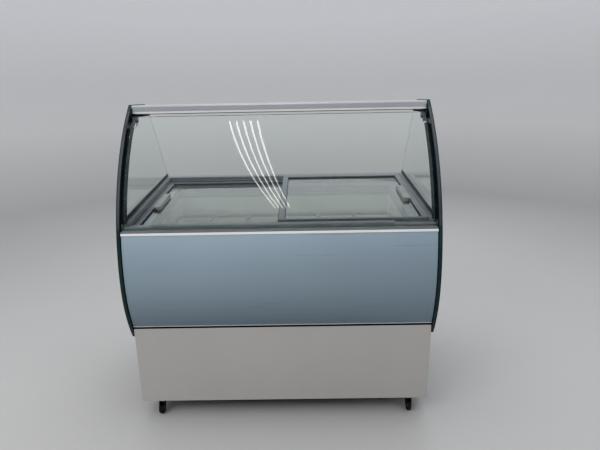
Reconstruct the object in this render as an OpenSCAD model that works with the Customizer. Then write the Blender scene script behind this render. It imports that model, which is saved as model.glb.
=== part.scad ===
// Ice cream dipping cabinet: curved glass canopy, two sliding glass lids, six-tub rack, four casters.
// Origin: middle of the footprint, on the floor. +X is the customer's right, +Y the operator's side.

/* [Overall] */
// Width over the two end frames
overall_w = 1280; // [1240:10:1320]
// Depth from the nose of the end frames to the thermostat knob
overall_d = 745; // [740:5:760]
// Height to the top of the end frames
overall_h = 1345; // [1340:5:1350]

/* [Cabinet body] */
// How far the end frames' nose stands in front of the base
nose_overhang = 45; // [40:1:50]
// Height of the curve's nose above the floor
nose_z = 644; // [630:2:660]
// Radius of the front curve above the nose
upper_r = 930; // [920:5:940]
// Radius of the front curve below the nose
lower_r = 550; // [540:5:570]
// Clear height under the base
ground_gap = 85; // [85:1:90]
// Thickness of the outer sheet metal
sheet_t = 2; // [1.5:0.5:2]
// Height where the front panel starts
panel_z0 = 450; // [446:1:454]
// Height where the front panel ends
panel_z1 = 850; // [846:1:852]

/* [End frames] */
// Thickness of an end frame
frame_t = 14; // [12:1:14]
// Depth of the end frame's band, measured square to the curve
band_d = 68; // [64:1:72]
// Height of the end frame's lower tip
tip_z = 393; // [385:1:400]

/* [Deck] */
// Slope of the deck, rising to the operator's side
deck_tilt = 6.7; // [6:0.1:7]
// Height of the deck plane where it is measured
deck_z = 903.5; // [900:0.5:906]
// Height of the deck rails
deck_h = 44; // [44:1:46]
// Left end of the front rail's raised middle
lip_left = 505; // [480:5:520]
// Right end of the front rail's raised middle
lip_right = 456; // [440:5:520]

/* [Lids] */
// Thickness of a lid frame
lid_t = 15; // [14:1:15]
// Width of a lid frame's bars
stile_w = 25; // [22:1:28]
// Height between the two lid tracks
lid_pitch = 24; // [24:0.5:25]
// Thickness of the lid glass
lid_glass_t = 4; // [3:1:5]
// Length of a lid handle
handle_l = 185; // [160:5:200]

/* [Well and rack] */
// Height of the well floor
well_z0 = 470; // [460:5:500]
// Tubs across the rack
bays = 6; // [5:1:7]
// Clear length of a rack bay
bay_l = 350; // [340:5:360]
// Width of the rack bars
rack_bar_w = 20; // [16:1:24]
// Height of the rack's top face
rack_z = 802; // [780:2:806]

/* [Canopy] */
// Thickness of the curved front glass
front_glass_t = 6; // [5:1:6]
// Thickness of the flat side glass
side_glass_t = 4.8; // [4:0.2:4.8]
// Depth of the top bar
bar_d = 205; // [190:5:210]
// Height of the top bar
bar_h = 38; // [36:1:38]
// Diameter of the glass hinge hubs
hub_d = 32; // [30:1:34]

/* [Casters] */
// Wheel diameter
wheel_d = 50; // [46:1:50]
// Wheel width
wheel_w = 18; // [16:1:20]
// Distance of the wheel's axle from the swivel axis
caster_trail = 22; // [18:1:24]
// Half distance between the left and right casters
caster_x = 554; // [540:2:560]

/* [Hidden] */

$fn = 64;
arc_fn = 360;
far = 2000;          // longer than the object, for cutting shapes
slip = 0.3;          // clearance between pieces that move past each other
seat = 0.1;          // joint line between pieces that are fixed together

// Cabinet
y_nose = -overall_d / 2;
y_knob = overall_d / 2;
y_base = y_nose + nose_overhang;
y_back = y_knob - 20;
half_w = overall_w / 2;
body_half = half_w - frame_t - 1;
inner_half = body_half - sheet_t;
skirt_gap_z = 433;
front_wall_z1 = 866;
machine_z1 = 402;
rear_split_z = 414;

// Deck: a plane that slopes up to the back, in a frame of its own
deck_y0 = y_base + 95;
rail_in = half_w - 43;
deck_y_front = -96;
track_wall_t = 3;
track_y0 = -79;
track_y1 = 555;
deck_y_back = 587;
lid_y0 = track_y0 + track_wall_t + 2.5;
lid_y1 = track_y1 - track_wall_t - 2.5;
lid_top = 1;
lid_low_top = lid_top - lid_pitch;
lip_top = -6;
ledge_t = 3;
ledge_gap = 1.5;
glide_t = ledge_gap - slip;
lid_edge = rail_in - 3;
lid_overlap = 4;
lid_l = lid_edge + lid_overlap;
handle_rise = 7.5;
handle_w = 30;
handle_x = lid_edge - 44;

// Well
foam_gap = 0.3;
liner_t = 2;
coil_space = 11;
well_half = half_w - 95;
well_y0 = y_base + 70;
well_y1 = y_base + 600;
well_r = 16;
breaker_h = 50;
rib_h = 4;
rib_d = 1.5;
drain_x = -400;
drain_y = -120;
drain_bore = 30;
rack_h = 14;
rack_half = well_half - 17;
bay_pitch = (2 * rack_half - rack_bar_w) / bays;
rack_y0 = y_base + 107;
rack_y1 = rack_y0 + bay_l + 2 * rack_bar_w;

// Canopy
glass_inset = 4;
glass_half = half_w - 29;
glass_z0 = 868;
bar_y0 = y_base + 265;
bar_z1 = overall_h - 3;
bar_z0 = bar_z1 - bar_h;
bar_wall = 2.5;
arm_z0 = 1292;
arm_y1 = y_base + 480;
arm_top_y1 = y_base + 450;
lamp_y = bar_y0 + 70;
lamp_slot = 60;
side_glass_x = half_w - 21.7;
channel_in = half_w - 24.5;
channel_y0 = -66;
side_glass_lap = 40;
upper_cy = y_nose + upper_r;
corner_y = curve_y(overall_h - 12);
hub_r = hub_d / 2;
hub_orbit = upper_r - glass_inset - front_glass_t - hub_r - 3.2;
hub_z = 1284;
hub_y = upper_cy - sqrt(pow(hub_orbit, 2) - pow(hub_z - nose_z, 2));
hub_x0 = half_w - 40;
pin_r = 5;

// Machine compartment
fan_x = -230;
fan_z = 240;
fan_y = 215;
comp_x = 250;
comp_y = 60;
plate_x = 430;
plate_z = 355;

// Casters
caster_y = [y_base + 36 + caster_trail, y_back - 42 + caster_trail];
axle_z = wheel_d / 2;
axle_r = 4;
king_r = 6;
fork_z0 = 70;

// Shared helpers -----------------------------------------------------------------------------

// A side-view outline, y to the right and z up, made solid between two x values
module along_x(x0, x1) translate([x0, 0, 0]) rotate([90, 0, 90]) linear_extrude(x1 - x0) children();

// A front-view outline, x to the right and z up, made solid between two y values
module along_y(y0, y1) translate([0, y1, 0]) rotate([90, 0, 0]) linear_extrude(y1 - y0) children();

// The same shape on the right side, or mirrored to the left
module on_side(s) if (s > 0) children(); else mirror([1, 0, 0]) children();
module both_sides() for (s = [-1, 1]) on_side(s) children();

// A rectangle with round corners, centred
module round_rect(w, d, r) {
    square([w - 2 * r, d], center = true);
    square([w, d - 2 * r], center = true);
    for (x = [-1, 1], y = [-1, 1]) translate([x * (w / 2 - r), y * (d / 2 - r)]) circle(r);
}

// Everything behind the front curve, set back by an inset
module behind_curve(inset) {
    intersection() {
        translate([upper_cy, nose_z]) circle(upper_r - inset, $fn = arc_fn);
        translate([y_nose - 10, nose_z]) square([900, 900]);
    }
    intersection() {
        translate([y_nose + lower_r, nose_z]) circle(lower_r - inset, $fn = arc_fn);
        translate([y_nose - 10, nose_z - 400]) square([540, 400]);
    }
}

// A band that follows the front curve between two insets and two heights
module curve_band(inset0, inset1, z0, z1) intersection() {
    difference() {
        behind_curve(inset0);
        behind_curve(inset1);
    }
    translate([y_nose - 10, z0]) square([500, z1 - z0]);
}

// y of the front curve at a height
function curve_y(z) = z > nose_z
    ? upper_cy - sqrt(pow(upper_r, 2) - pow(z - nose_z, 2))
    : y_nose + lower_r - sqrt(pow(lower_r, 2) - pow(z - nose_z, 2));

// The deck's own frame, and the spaces above and below one of its levels
module on_deck() translate([0, deck_y0, deck_z]) rotate([deck_tilt, 0, 0]) children();
module above_deck(z) on_deck() translate([-far / 2, -far / 2, z]) cube([far, far, far / 2]);
module below_deck(z) on_deck() translate([-far / 2, -far / 2, z - far / 2]) cube([far, far, far / 2]);
module deck_block(x0, x1, y0, y1, z0, z1) on_deck() translate([x0, y0, z0])
    cube([x1 - x0, y1 - y0, z1 - z0]);

// An upright ring of wall around the well, between two sizes
module well_block(grow, z0, z1) translate([0, (well_y0 + well_y1) / 2, z0]) linear_extrude(z1 - z0)
    round_rect(2 * (well_half + grow), well_y1 - well_y0 + 2 * grow, well_r + grow);

// Body ---------------------------------------------------------------------------------------

module cabinet_shell() color("white") difference() {
    translate([-body_half, y_base, ground_gap]) cube([2 * body_half, y_back - y_base, 900]);
    translate([-inner_half, y_base + sheet_t, ground_gap - 1]) cube([2 * inner_half, 900, 902]);
    translate([-inner_half, y_base - 1, front_wall_z1]) cube([2 * inner_half, 900, 902]);
    above_deck(-1.5);
    frame_screw_holes();
}

module base_pan() color("gainsboro") difference() {
    translate([-inner_half + foam_gap, y_base + sheet_t + foam_gap, ground_gap])
        cube([2 * (inner_half - foam_gap), y_back - y_base - 2 * sheet_t - 2 * foam_gap, 20]);
    translate([-inner_half + 2, y_base + sheet_t + 2, ground_gap + 2])
        cube([2 * inner_half - 4, y_back - y_base - 2 * sheet_t - 4, 20]);
    for (x = [-caster_x, caster_x], y = caster_y) translate([x, y, ground_gap - 1])
        cylinder(r = 5, h = 10);
    for (x = [-300 : 50 : -150]) translate([x, 120, ground_gap - 1]) cube([30, 120, 5]);
}

module rear_panel() color("gainsboro") difference() {
    translate([-inner_half + seat, y_back - sheet_t, rear_split_z])
        cube([2 * (inner_half - seat), sheet_t, 600]);
    above_deck(-deck_h - 0.5);
}

module rear_grille() color("silver") difference() {
    translate([-inner_half + seat, y_back - sheet_t, ground_gap])
        cube([2 * (inner_half - seat), sheet_t, rear_split_z - ground_gap - 0.4]);
    for (i = [0 : 2], j = [0 : 11]) translate([-400 + i * 130, y_back - 10, 140 + j * 18])
        cube([110, 20, 8]);
    translate([plate_x - 60, y_back - 10, plate_z - 28]) cube([120, 20, 56]);
    translate([560, y_back - 10, 130]) rotate([-90, 0, 0]) cylinder(r = 8.1, h = 20);
    for (p = rear_screws) translate([p[0], y_back - 10, p[1]]) rotate([-90, 0, 0])
        cylinder(r = 2.15, h = 20);
}

// The foam stands off the liner by the liner's own thickness and the evaporator's space
foam_in = liner_t + coil_space;
module foam_insulation() color("khaki") difference() {
    translate([-inner_half + foam_gap, y_base + sheet_t + foam_gap, machine_z1])
        cube([2 * (inner_half - foam_gap), y_back - y_base - 2 * (sheet_t + foam_gap), 620]);
    translate([-well_half - foam_in, well_y0 - foam_in, well_z0 - foam_in])
        cube([2 * (well_half + foam_in), well_y1 - well_y0 + 2 * foam_in, 600]);
    above_deck(-deck_h - 0.5);
    translate([drain_x, drain_y, machine_z1 - 1]) cylinder(r = drain_bore / 2 + 4, h = 100);
    frame_screw_holes();
}

// The liner is folded from panels: a floor with its drain spout, four walls and four corners, with
// a hairline weld gap between them
module well_liner() color("whitesmoke") {
    difference() {
        union() {
            well_block(liner_t, well_z0 - liner_t, well_z0);
            translate([drain_x, drain_y, machine_z1]) cylinder(r = drain_bore / 2 + 3, h = 67);
        }
        translate([drain_x, drain_y, machine_z1 - 1]) cylinder(r = drain_bore / 2, h = 90);
    }
    difference() {
        well_block(liner_t, well_z0 + seat, 1100);
        well_block(0, well_z0 - 1, 1101);
        above_deck(-deck_h - breaker_h - 1);
        for (x = [-well_half + well_r, well_half - well_r]) translate([x - seat / 2, well_y0 - 20, 400])
            cube([seat, well_y1 - well_y0 + 40, 700]);
        for (y = [well_y0 + well_r, well_y1 - well_r]) translate([-well_half - 20, y - seat / 2, 400])
            cube([2 * well_half + 40, seat, 700]);
    }
}

module breaker_strip() color("darkolivegreen") difference() {
    well_block(foam_in - foam_gap, 700, 1100);
    well_block(-3, 699, 1101);
    above_deck(-deck_h - 0.5);
    below_deck(-deck_h - breaker_h - 0.6);
    for (i = [0 : 3]) difference() {
        well_block(-3 + rib_d, 700, 1100);
        above_deck(-deck_h - 9 - i * 11);
        below_deck(-deck_h - 9 - rib_h - i * 11);
    }
}

// Deck ---------------------------------------------------------------------------------------

module deck_front_rail() color("slategray") {
    on_deck() front_rail_bar(-lip_left, lip_right, lip_top);
    on_deck() front_rail_bar(-inner_half + foam_gap, -lip_left - 0.4, lip_top - 7);
    on_deck() front_rail_bar(lip_right + 0.4, inner_half - foam_gap, lip_top - 7);
}

module front_rail_bar(x0, x1, top) along_x(x0, x1) polygon([
    [deck_y_front, -deck_h], [track_y0 - 0.2, -deck_h], [track_y0 - 0.2, top],
    [deck_y_front + 5, top], [deck_y_front + 1.5, top - 1.5], [deck_y_front, top - 5]
]);

module deck_rear_rail() color("slategray") difference() {
    on_deck() along_x(-inner_half + foam_gap, inner_half - foam_gap) polygon([
        [track_y1 + 0.2, -deck_h], [deck_y_back, -deck_h], [deck_y_back, -3],
        [deck_y_back - 3, 0], [track_y1 + 0.2, 0]
    ]);
    both_sides() deck_block(channel_in - 0.3, far / 2, 500, 700, -1.4, 20);
}

module deck_side_rail(s) color("slategray") on_deck() on_side(s)
    translate([0, track_y0, 0]) rotate([90, 0, 180]) mirror([1, 0, 0])
    linear_extrude(track_y1 - track_y0) polygon([
        [rail_in, -deck_h], [inner_half - foam_gap, -deck_h], [inner_half - foam_gap, -1.4],
        [channel_in - 0.3, -1.4], [channel_in - 0.3, 0], [rail_in + 2, 0], [rail_in, -2]
    ]);

// A track bar: a wall with an upper and a lower ledge for the two lids
module track_outline(top) polygon([
    [0, -deck_h + 1], [11, -deck_h + 1], [11, lid_low_top - lid_t - ledge_gap],
    [track_wall_t, lid_low_top - lid_t - ledge_gap],
    [track_wall_t, lid_top - lid_t - ledge_gap - ledge_t],
    [12, lid_top - lid_t - ledge_gap - ledge_t], [12, lid_top - lid_t - ledge_gap],
    [track_wall_t, lid_top - lid_t - ledge_gap], [track_wall_t, top], [0, top]
]);

module lid_track_front() color("lightslategray") on_deck() translate([0, track_y0, 0])
    along_x(-rail_in + 0.4, rail_in - 0.4) track_outline(lip_top - 7);

module lid_track_rear() color("lightslategray") on_deck() translate([0, track_y1, 0])
    along_x(-rail_in + 0.4, rail_in - 0.4) mirror([1, 0]) track_outline(-1);

// Lids: identical pieces, the left one on the lower track ------------------------------------

module on_lid(s) on_deck() translate([s > 0 ? -lid_overlap : -lid_edge, 0, s > 0 ? lid_top : lid_low_top])
    children();

module lid_frame(s) color("lightsteelblue") on_lid(s) difference() {
    translate([0, lid_y0, -lid_t]) cube([lid_l, lid_y1 - lid_y0, lid_t]);
    translate([stile_w, lid_y0 + stile_w, -lid_t - 1])
        cube([lid_l - 2 * stile_w, lid_y1 - lid_y0 - 2 * stile_w, lid_t + 2]);
    translate([stile_w - 6, lid_y0 + stile_w - 6, -lid_t + 3])
        cube([lid_l - 2 * stile_w + 12, lid_y1 - lid_y0 - 2 * stile_w + 12, lid_glass_t + 0.2]);
}

module lid_glass(s) color([0.75, 0.9, 0.85, 0.4]) on_lid(s)
    translate([stile_w - 5.5, lid_y0 + stile_w - 5.5, -lid_t + 3.1])
    cube([lid_l - 2 * stile_w + 11, lid_y1 - lid_y0 - 2 * stile_w + 11, lid_glass_t]);

module lid_handle(s) color("slategray") on_lid(s) translate([handle_local(s), (lid_y0 + lid_y1) / 2, 0])
    difference() {
        handle_block(s);
        translate([-s * 13, 0, 3]) rotate([90, 0, 0]) cylinder(r = 5.5, h = handle_l - 30, center = true);
    }

// x of the handle's middle, inside its lid
function handle_local(s) = s > 0 ? lid_l - 44 : 44;

module handle_block(s) {
    translate([s * 4, 0, 0.1]) linear_extrude(handle_rise - 0.1) round_rect(handle_w, handle_l, 6);
    translate([-s * 1, 0, -lid_t + 7.2]) linear_extrude(lid_t - 7)
        round_rect(handle_w - 10.4, handle_l, 5);
}

// Four nylon pads under a lid's corners
module lid_glides(s) color("white") on_lid(s)
    for (x = [30, lid_l - 70], y = [lid_y0 + 0.5, lid_y1 - 6.5]) translate([x, y, -lid_t - glide_t])
        cube([40, 6, glide_t]);

// Canopy -------------------------------------------------------------------------------------

module end_frame(s) color("darkslategray") on_side(s) difference() {
    along_x(half_w - frame_t, half_w) {
        intersection() {
            difference() {
                behind_curve(0);
                behind_curve(band_d);
            }
            polygon([
                [y_nose - 5, tip_z], [curve_y(tip_z) + 2, tip_z], [y_base + 160, tip_z + 150],
                [y_base + 160, 900], [y_base + 420, overall_h], [corner_y + 14, overall_h],
                [corner_y + 3, overall_h - 4], [corner_y, overall_h - 12], [y_nose - 5, overall_h - 12]
            ]);
        }
        polygon([
            [corner_y + 14, overall_h], [corner_y + 30, overall_h - 40],
            [hub_y + 60, arm_z0], [arm_y1, arm_z0 + 8], [arm_y1, arm_z0 + 14], [arm_top_y1, overall_h]
        ]);
    }
    frame_screw_holes();
    frame_screw_sinks();
}

module side_glass(s) color([0.8, 0.9, 0.88, 0.35]) on_side(s) difference() {
    along_x(side_glass_x, side_glass_x + side_glass_t) intersection() {
        behind_curve(side_glass_lap);
        polygon([
            [y_base, 860], [y_base + 680, 950], [y_base + 680, 972], [arm_y1 - 6, bar_z0 - 0.5],
            [hub_y + 70, bar_z0 - 0.5], [hub_y + 44, hub_z - 30], [y_base, hub_z - 80]
        ]);
    }
    below_deck(2.1);
    translate([half_w - 60, hub_y, hub_z]) rotate([0, 90, 0]) cylinder(r = hub_r + 4, h = 60);
}

module side_channel(s) color("dimgray") on_side(s) difference() {
    deck_block(channel_in, body_half, channel_y0, deck_y_back, -1, 11);
    deck_block(side_glass_x - 0.1, side_glass_x + side_glass_t + 0.1, channel_y0 - 1, 700, 2, 12);
}

module top_bar() color("silver") difference() {
    along_x(-body_half, body_half) difference() {
        polygon([
            [bar_y0, bar_z0 + 3], [bar_y0 + 3, bar_z0], [bar_y0 + bar_d, bar_z0],
            [bar_y0 + bar_d, bar_z1 - 8], [bar_y0 + bar_d - 8, bar_z1], [bar_y0 + 6, bar_z1],
            [bar_y0 + 1.5, bar_z1 - 2], [bar_y0, bar_z1 - 7]
        ]);
        translate([bar_y0 + bar_wall, bar_z0 + bar_wall])
            square([bar_d - 10, bar_h - 2 * bar_wall]);
    }
    translate([-560, lamp_y - lamp_slot / 2, bar_z0 - 1]) cube([1120, lamp_slot, bar_wall + 2]);
}

module lamp_diffuser() color("white") translate([-559.8, lamp_y - lamp_slot / 2 + 0.2, bar_z0])
    cube([1119.6, lamp_slot - 0.4, 2]);

module canopy_lamp() color("ivory") {
    translate([-530, lamp_y, bar_z0 + 19]) rotate([0, 90, 0]) cylinder(r = 13, h = 1060);
    for (x = [-548, 530.2]) translate([x, lamp_y - 15, bar_z0 + 3]) cube([17.8, 30, 31]);
}

module front_glass() color([0.8, 0.9, 0.88, 0.3]) along_x(-glass_half, glass_half)
    curve_band(glass_inset, glass_inset + front_glass_t, glass_z0, 1298);

// Hubs clamped to the glass's back face, turning on pins that stand on the end frames
module glass_hinge_hubs() color("black") both_sides() difference() {
    union() {
        translate([hub_x0, hub_y, hub_z]) rotate([0, 90, 0]) cylinder(r = hub_r, h = 25);
        along_x(hub_x0, glass_half - 1)
            curve_band(glass_inset + front_glass_t + 0.1, glass_inset + front_glass_t + 8, hub_z - 26, 1296);
    }
    translate([hub_x0 + 2.8, hub_y, hub_z]) rotate([0, 90, 0]) cylinder(r = pin_r + 0.05, h = 30);
}

module glass_hinge_pins() color("silver") both_sides() translate([0, hub_y, hub_z]) rotate([0, 90, 0])
    translate([0, 0, hub_x0 + 3]) cylinder(r = pin_r, h = half_w - frame_t - hub_x0 - 3);

module glass_side_seals() color("black") both_sides() along_x(glass_half - 8, half_w - frame_t - seat)
    curve_band(glass_inset + front_glass_t + slip, 22, glass_z0 + 26, hub_z - 34);

// Front --------------------------------------------------------------------------------------

module front_panel() color("lightsteelblue") along_x(-half_w + frame_t + 2, half_w - frame_t - 2)
    curve_band(6, 7.5, panel_z0, panel_z1);

module panel_top_trim() color("white") along_x(-body_half, body_half) difference() {
    intersection() {
        behind_curve(3);
        translate([y_nose, panel_z1 + 0.2]) square([nose_overhang - 0.2, 14]);
    }
    translate([y_base - 14, panel_z1 - 1]) square([11, 11]);
}

module panel_bottom_trim() color("lightgray") along_x(-body_half, body_half) intersection() {
    behind_curve(3.5);
    translate([y_nose, panel_z0 - 9.2]) square([nose_overhang - 0.2, 9]);
}

// Rack ---------------------------------------------------------------------------------------

module tub_rack() color("lightgray") translate([0, (rack_y0 + rack_y1) / 2, rack_z - rack_h])
    linear_extrude(rack_h) difference() {
        round_rect(2 * rack_half, rack_y1 - rack_y0, 42);
        for (i = [0 : bays - 1]) translate([(i - (bays - 1) / 2) * bay_pitch, 0])
            round_rect(bay_pitch - rack_bar_w, bay_l, 12);
    }

module rack_brackets() color("silver") both_sides() along_y(rack_y0 + 50, rack_y1 - 50) polygon([
    [rack_half - 10, rack_z - rack_h], [rack_half - 10, rack_z - rack_h - 3],
    [well_half - 3, rack_z - rack_h - 3], [well_half - 3, rack_z - rack_h - 30],
    [well_half - seat, rack_z - rack_h - 30], [well_half - seat, rack_z - rack_h]
]);

module drain_plug() color("white") translate([drain_x, drain_y, well_z0 + 0.1]) {
    translate([0, 0, -20]) cylinder(r = drain_bore / 2 - 0.05, h = 20.5);
    cylinder(r = 20, h = 4);
    cylinder(r = 5, h = 14);
    translate([0, 0, 12]) cylinder(r = 9, h = 5);
}

// Refrigeration ------------------------------------------------------------------------------

module compressor() {
    color("black") translate([comp_x, comp_y, ground_gap + 22]) rotate_extrude() intersection() {
        union() {
            square([74, 100]);
            translate([34, 100]) circle(40);
            square([34, 140]);
            translate([0, 60]) square([78, 6]);
        }
        square([90, 150]);
    }
    color("black") translate([comp_x - 95, comp_y - 75, ground_gap + 18]) cube([190, 150, 4]);
    color("dimgray") for (x = [-80, 80], y = [-60, 60])
        translate([comp_x + x, comp_y + y, ground_gap + 2.1]) cylinder(r = 12, h = 15.8);
    color("dimgray") translate([comp_x + 78.5, comp_y - 25, ground_gap + 50]) cube([30, 50, 55]);
}

module condenser_coil() color("silver") translate([fan_x, 0, fan_z]) {
    for (i = [0 : 14]) translate([-126 + i * 18, 275, -100]) cube([1.2, 50, 200]);
    for (y = [288, 312], z = [-75 : 30 : 75]) translate([-136, y, z]) rotate([0, 90, 0])
        cylinder(r = 4.5, h = 272);
    for (x = [-138, 136]) translate([x, 273, -104]) cube([2, 54, 208]);
}

module fan_shroud() translate([fan_x, 0, fan_z]) {
    color("dimgray") difference() {
        union() {
            translate([-136, 262, -110]) cube([272, 3, 220]);
            translate([0, 232, 0]) rotate([-90, 0, 0]) cylinder(r = 98, h = 31);
        }
        translate([0, 231, 0]) rotate([-90, 0, 0]) cylinder(r = 95, h = 40);
    }
    color("dimgray") {
        translate([-106, 186, -8]) cube([212, 4, 16]);
        for (x = [-106, 102]) translate([x, 186, -8]) cube([4, 76, 16]);
    }
    color("darkgray") difference() {
        translate([0, 140, 0]) rotate([-90, 0, 0]) cylinder(r = 32, h = 45.9);
        translate([0, 139, 0]) rotate([-90, 0, 0]) cylinder(r = 4, h = 10);
    }
    color("silver") translate([0, 190.1, 0]) rotate([-90, 0, 0]) cylinder(r = 4, h = 36);
}

module fan_blades() color("gray") translate([fan_x, fan_y, fan_z]) rotate([-90, 0, 0]) difference() {
    union() {
        translate([0, 0, -10]) cylinder(r = 22, h = 24);
        for (a = [0 : 72 : 288]) rotate([0, 0, a]) rotate([24, 0, 0])
            translate([18, -22, -1.2]) cube([68, 44, 2.4]);
    }
    translate([0, 0, -11]) cylinder(r = 4.05, h = 22.2);
}

// A run of tube through a list of points, with round elbows
module tube_run(points, r) {
    for (i = [0 : len(points) - 2]) tube_leg(points[i], points[i + 1], r);
    for (i = [1 : len(points) - 2]) translate(points[i]) sphere(r, $fn = 32);
}

module tube_leg(a, b, r) {
    d = b - a;
    translate(a) rotate([0, acos(d[2] / norm(d)), atan2(d[1], d[0])]) cylinder(r = r, h = norm(d), $fn = 32);
}

module refrigerant_pipes() color("peru") {
    tube_run([[comp_x - 40, comp_y, 247.5], [comp_x - 40, comp_y, 360], [20, comp_y, 360],
        [20, 300, 360], [20, 300, 335], [fan_x + 140.5, 300, 335]], 4);
    tube_run([[-370.5, 312, 150], [-420, 312, 150], [-420, 100, 150], [-420, 100, 200]], 3);
    translate([-420, 100, 200.2]) cylinder(r = 10, h = 90);
    tube_run([[-420, 100, 290.4], [-420, 100, 380], [0, 100, 380], [0, 100, 398]], 3);
}

module evaporator_coil() color("peru") for (z = [520 : 60 : 760])
    tube_run(coil_ring(z), 4);

// One turn of the evaporator around the liner, open where the supply and return tubes join it
coil_off = liner_t + coil_space / 2;
coil_x = well_half + coil_off;
coil_y0 = well_y0 - coil_off;
coil_y1 = well_y1 + coil_off;
function coil_ring(z) = [[0, coil_y0, z], [coil_x, coil_y0, z], [coil_x, coil_y1, z],
    [-coil_x, coil_y1, z], [-coil_x, coil_y0, z], [-20, coil_y0, z]];

// Controls -----------------------------------------------------------------------------------

knob_x = plate_x + 36;
switch_x = plate_x - 36;
switch_z = plate_z;
switch_y = y_back + 6;

module control_plate() {
    color("black") difference() {
        union() {
            translate([plate_x, 0, plate_z]) along_y(y_back + 0.1, y_back + 3) round_rect(160, 80, 8);
            translate([switch_x, 0, switch_z]) along_y(y_back + 0.1, y_back + 8) round_rect(36, 28, 3);
        }
        translate([knob_x, y_back - 1, plate_z]) rotate([-90, 0, 0]) cylinder(r = 3.05, h = 10);
        translate([switch_x - 13.5, y_back - 1, switch_z - 10.5]) cube([27, 20, 21]);
        translate([switch_x - 16, switch_y, switch_z]) rotate([0, 90, 0]) cylinder(r = 1.55, h = 32);
        for (x = [-72, 72]) translate([plate_x + x, y_back - 1, plate_z - 32]) rotate([-90, 0, 0])
            cylinder(r = 2.15, h = 10);
    }
    color("dimgray") difference() {
        translate([knob_x - 20, y_back - 40, plate_z - 22]) cube([40, 40, 44]);
        translate([knob_x, y_back - 20, plate_z]) rotate([-90, 0, 0]) cylinder(r = 3.05, h = 40);
    }
}

module thermostat_knob() color("black") translate([knob_x, y_back, plate_z]) rotate([-90, 0, 0])
    difference() {
        union() {
            translate([0, 0, -18]) cylinder(r = 3, h = 22);
            translate([0, 0, 3.3]) cylinder(r = 19, h = 6);
            translate([0, 0, 5]) cylinder(r = 16, h = 15);
        }
        translate([-1, -12, 18.7]) cube([2, 10, 2]);
        for (a = [15 : 30 : 345]) rotate([0, 0, a]) translate([17, 0, 11]) cylinder(r = 2.5, h = 12);
    }

// The rocker is drawn in its off position, tipped to its lower stop
rocker_tip = 8;
module rocker_switch() color("green") translate([switch_x, switch_y, switch_z]) rotate([rocker_tip, 0, 0]) {
    difference() {
        translate([-13, -3, -9.5]) cube([26, 6, 19]);
        translate([-14, 22.5, 0]) rotate([0, 90, 0]) cylinder(r = 20.2, h = 28, $fn = 128);
    }
    translate([-16, 0, 0]) rotate([0, 90, 0]) cylinder(r = 1.5, h = 32);
}

module cable_gland() color("black") translate([560, 0, 130]) difference() {
    union() {
        translate([0, y_back - 12, 0]) rotate([-90, 0, 0]) cylinder(r = 8, h = 24);
        translate([0, y_back + 0.1, 0]) rotate([-90, 0, 0]) cylinder(r = 12, h = 5, $fn = 6);
        translate([0, y_back + 5, 0]) rotate([-90, 0, 0]) cylinder(r = 10, h = 9);
        translate([0, y_back - sheet_t - 5.1, 0]) rotate([-90, 0, 0]) cylinder(r = 12, h = 5, $fn = 6);
    }
    translate([0, y_back - 20, 0]) rotate([-90, 0, 0]) cylinder(r = 4, h = 50);
}

// Fixings ------------------------------------------------------------------------------------

frame_screw_z = [480, 600, 720, 830];
frame_screw_inset = 40;
rear_screws = [[-600, 120], [-600, 395], [0, 395], [600, 395], [600, 160]];

module frame_screw_at(s, z) translate([s * half_w, curve_y(z) + frame_screw_inset, z])
    rotate([0, s * 90, 0]) children();
module frame_screw_holes() for (s = [-1, 1], z = frame_screw_z) frame_screw_at(s, z)
    translate([0, 0, -30]) cylinder(r = 2.15, h = 31);
module frame_screw_sinks() for (s = [-1, 1], z = frame_screw_z) frame_screw_at(s, z)
    translate([0, 0, -3]) cylinder(r = 4.2, h = 4);

module screw(head_r, head_h, shank) {
    translate([0, 0, 0]) cylinder(r = head_r, h = head_h);
    translate([0, 0, -shank]) cylinder(r = 2, h = shank + 1);
}

module fixing_screws() color("gainsboro") {
    for (s = [-1, 1], z = frame_screw_z) frame_screw_at(s, z) translate([0, 0, -2.9]) screw(4, 2.6, 24);
    for (p = rear_screws) translate([p[0], y_back + 0.1, p[1]]) rotate([-90, 0, 0]) screw(4, 2.4, 8);
    for (x = [-72, 72]) translate([plate_x + x, y_back + 3.1, plate_z - 32]) rotate([-90, 0, 0])
        screw(4, 2, 2.9);
}

// Casters ------------------------------------------------------------------------------------

module caster_plates() color("silver") for (x = [-caster_x, caster_x], y = caster_y)
    translate([x, y, 0]) {
        translate([0, 0, ground_gap - 3.1]) linear_extrude(3) round_rect(60, 60, 6);
        translate([0, 0, fork_z0 + 4.2]) cylinder(r = 21, h = ground_gap - fork_z0 - 7);
        translate([0, 0, fork_z0 - 4]) cylinder(r = king_r, h = 12);
        translate([0, 0, fork_z0 - 4]) cylinder(r = 9, h = 3.8);
        translate([0, 0, ground_gap - 1]) cylinder(r = 4.9, h = 12);
    }

module caster_at(sx, row) translate([sx * caster_x, caster_y[row], 0]) children();

module caster_fork(sx, row) color("dimgray") caster_at(sx, row) {
    difference() {
        translate([0, 0, fork_z0]) cylinder(r = 22, h = 4);
        translate([0, 0, fork_z0 - 1]) cylinder(r = king_r + 0.05, h = 6);
    }
    for (x = [-wheel_w / 2 - 3.5, wheel_w / 2 + 1]) along_x(x, x + 2.5) {
        translate([-caster_trail, axle_z]) circle(10);
        polygon([
            [-caster_trail - 9.5, axle_z + 3], [-caster_trail + 8, axle_z - 6], [18, fork_z0],
            [18, fork_z0 + 3], [-18, fork_z0 + 3], [-18, fork_z0 - 6]
        ]);
    }
    translate([-wheel_w / 2 - 5, -caster_trail, axle_z]) rotate([0, 90, 0])
        cylinder(r = axle_r, h = wheel_w + 10);
}

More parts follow.
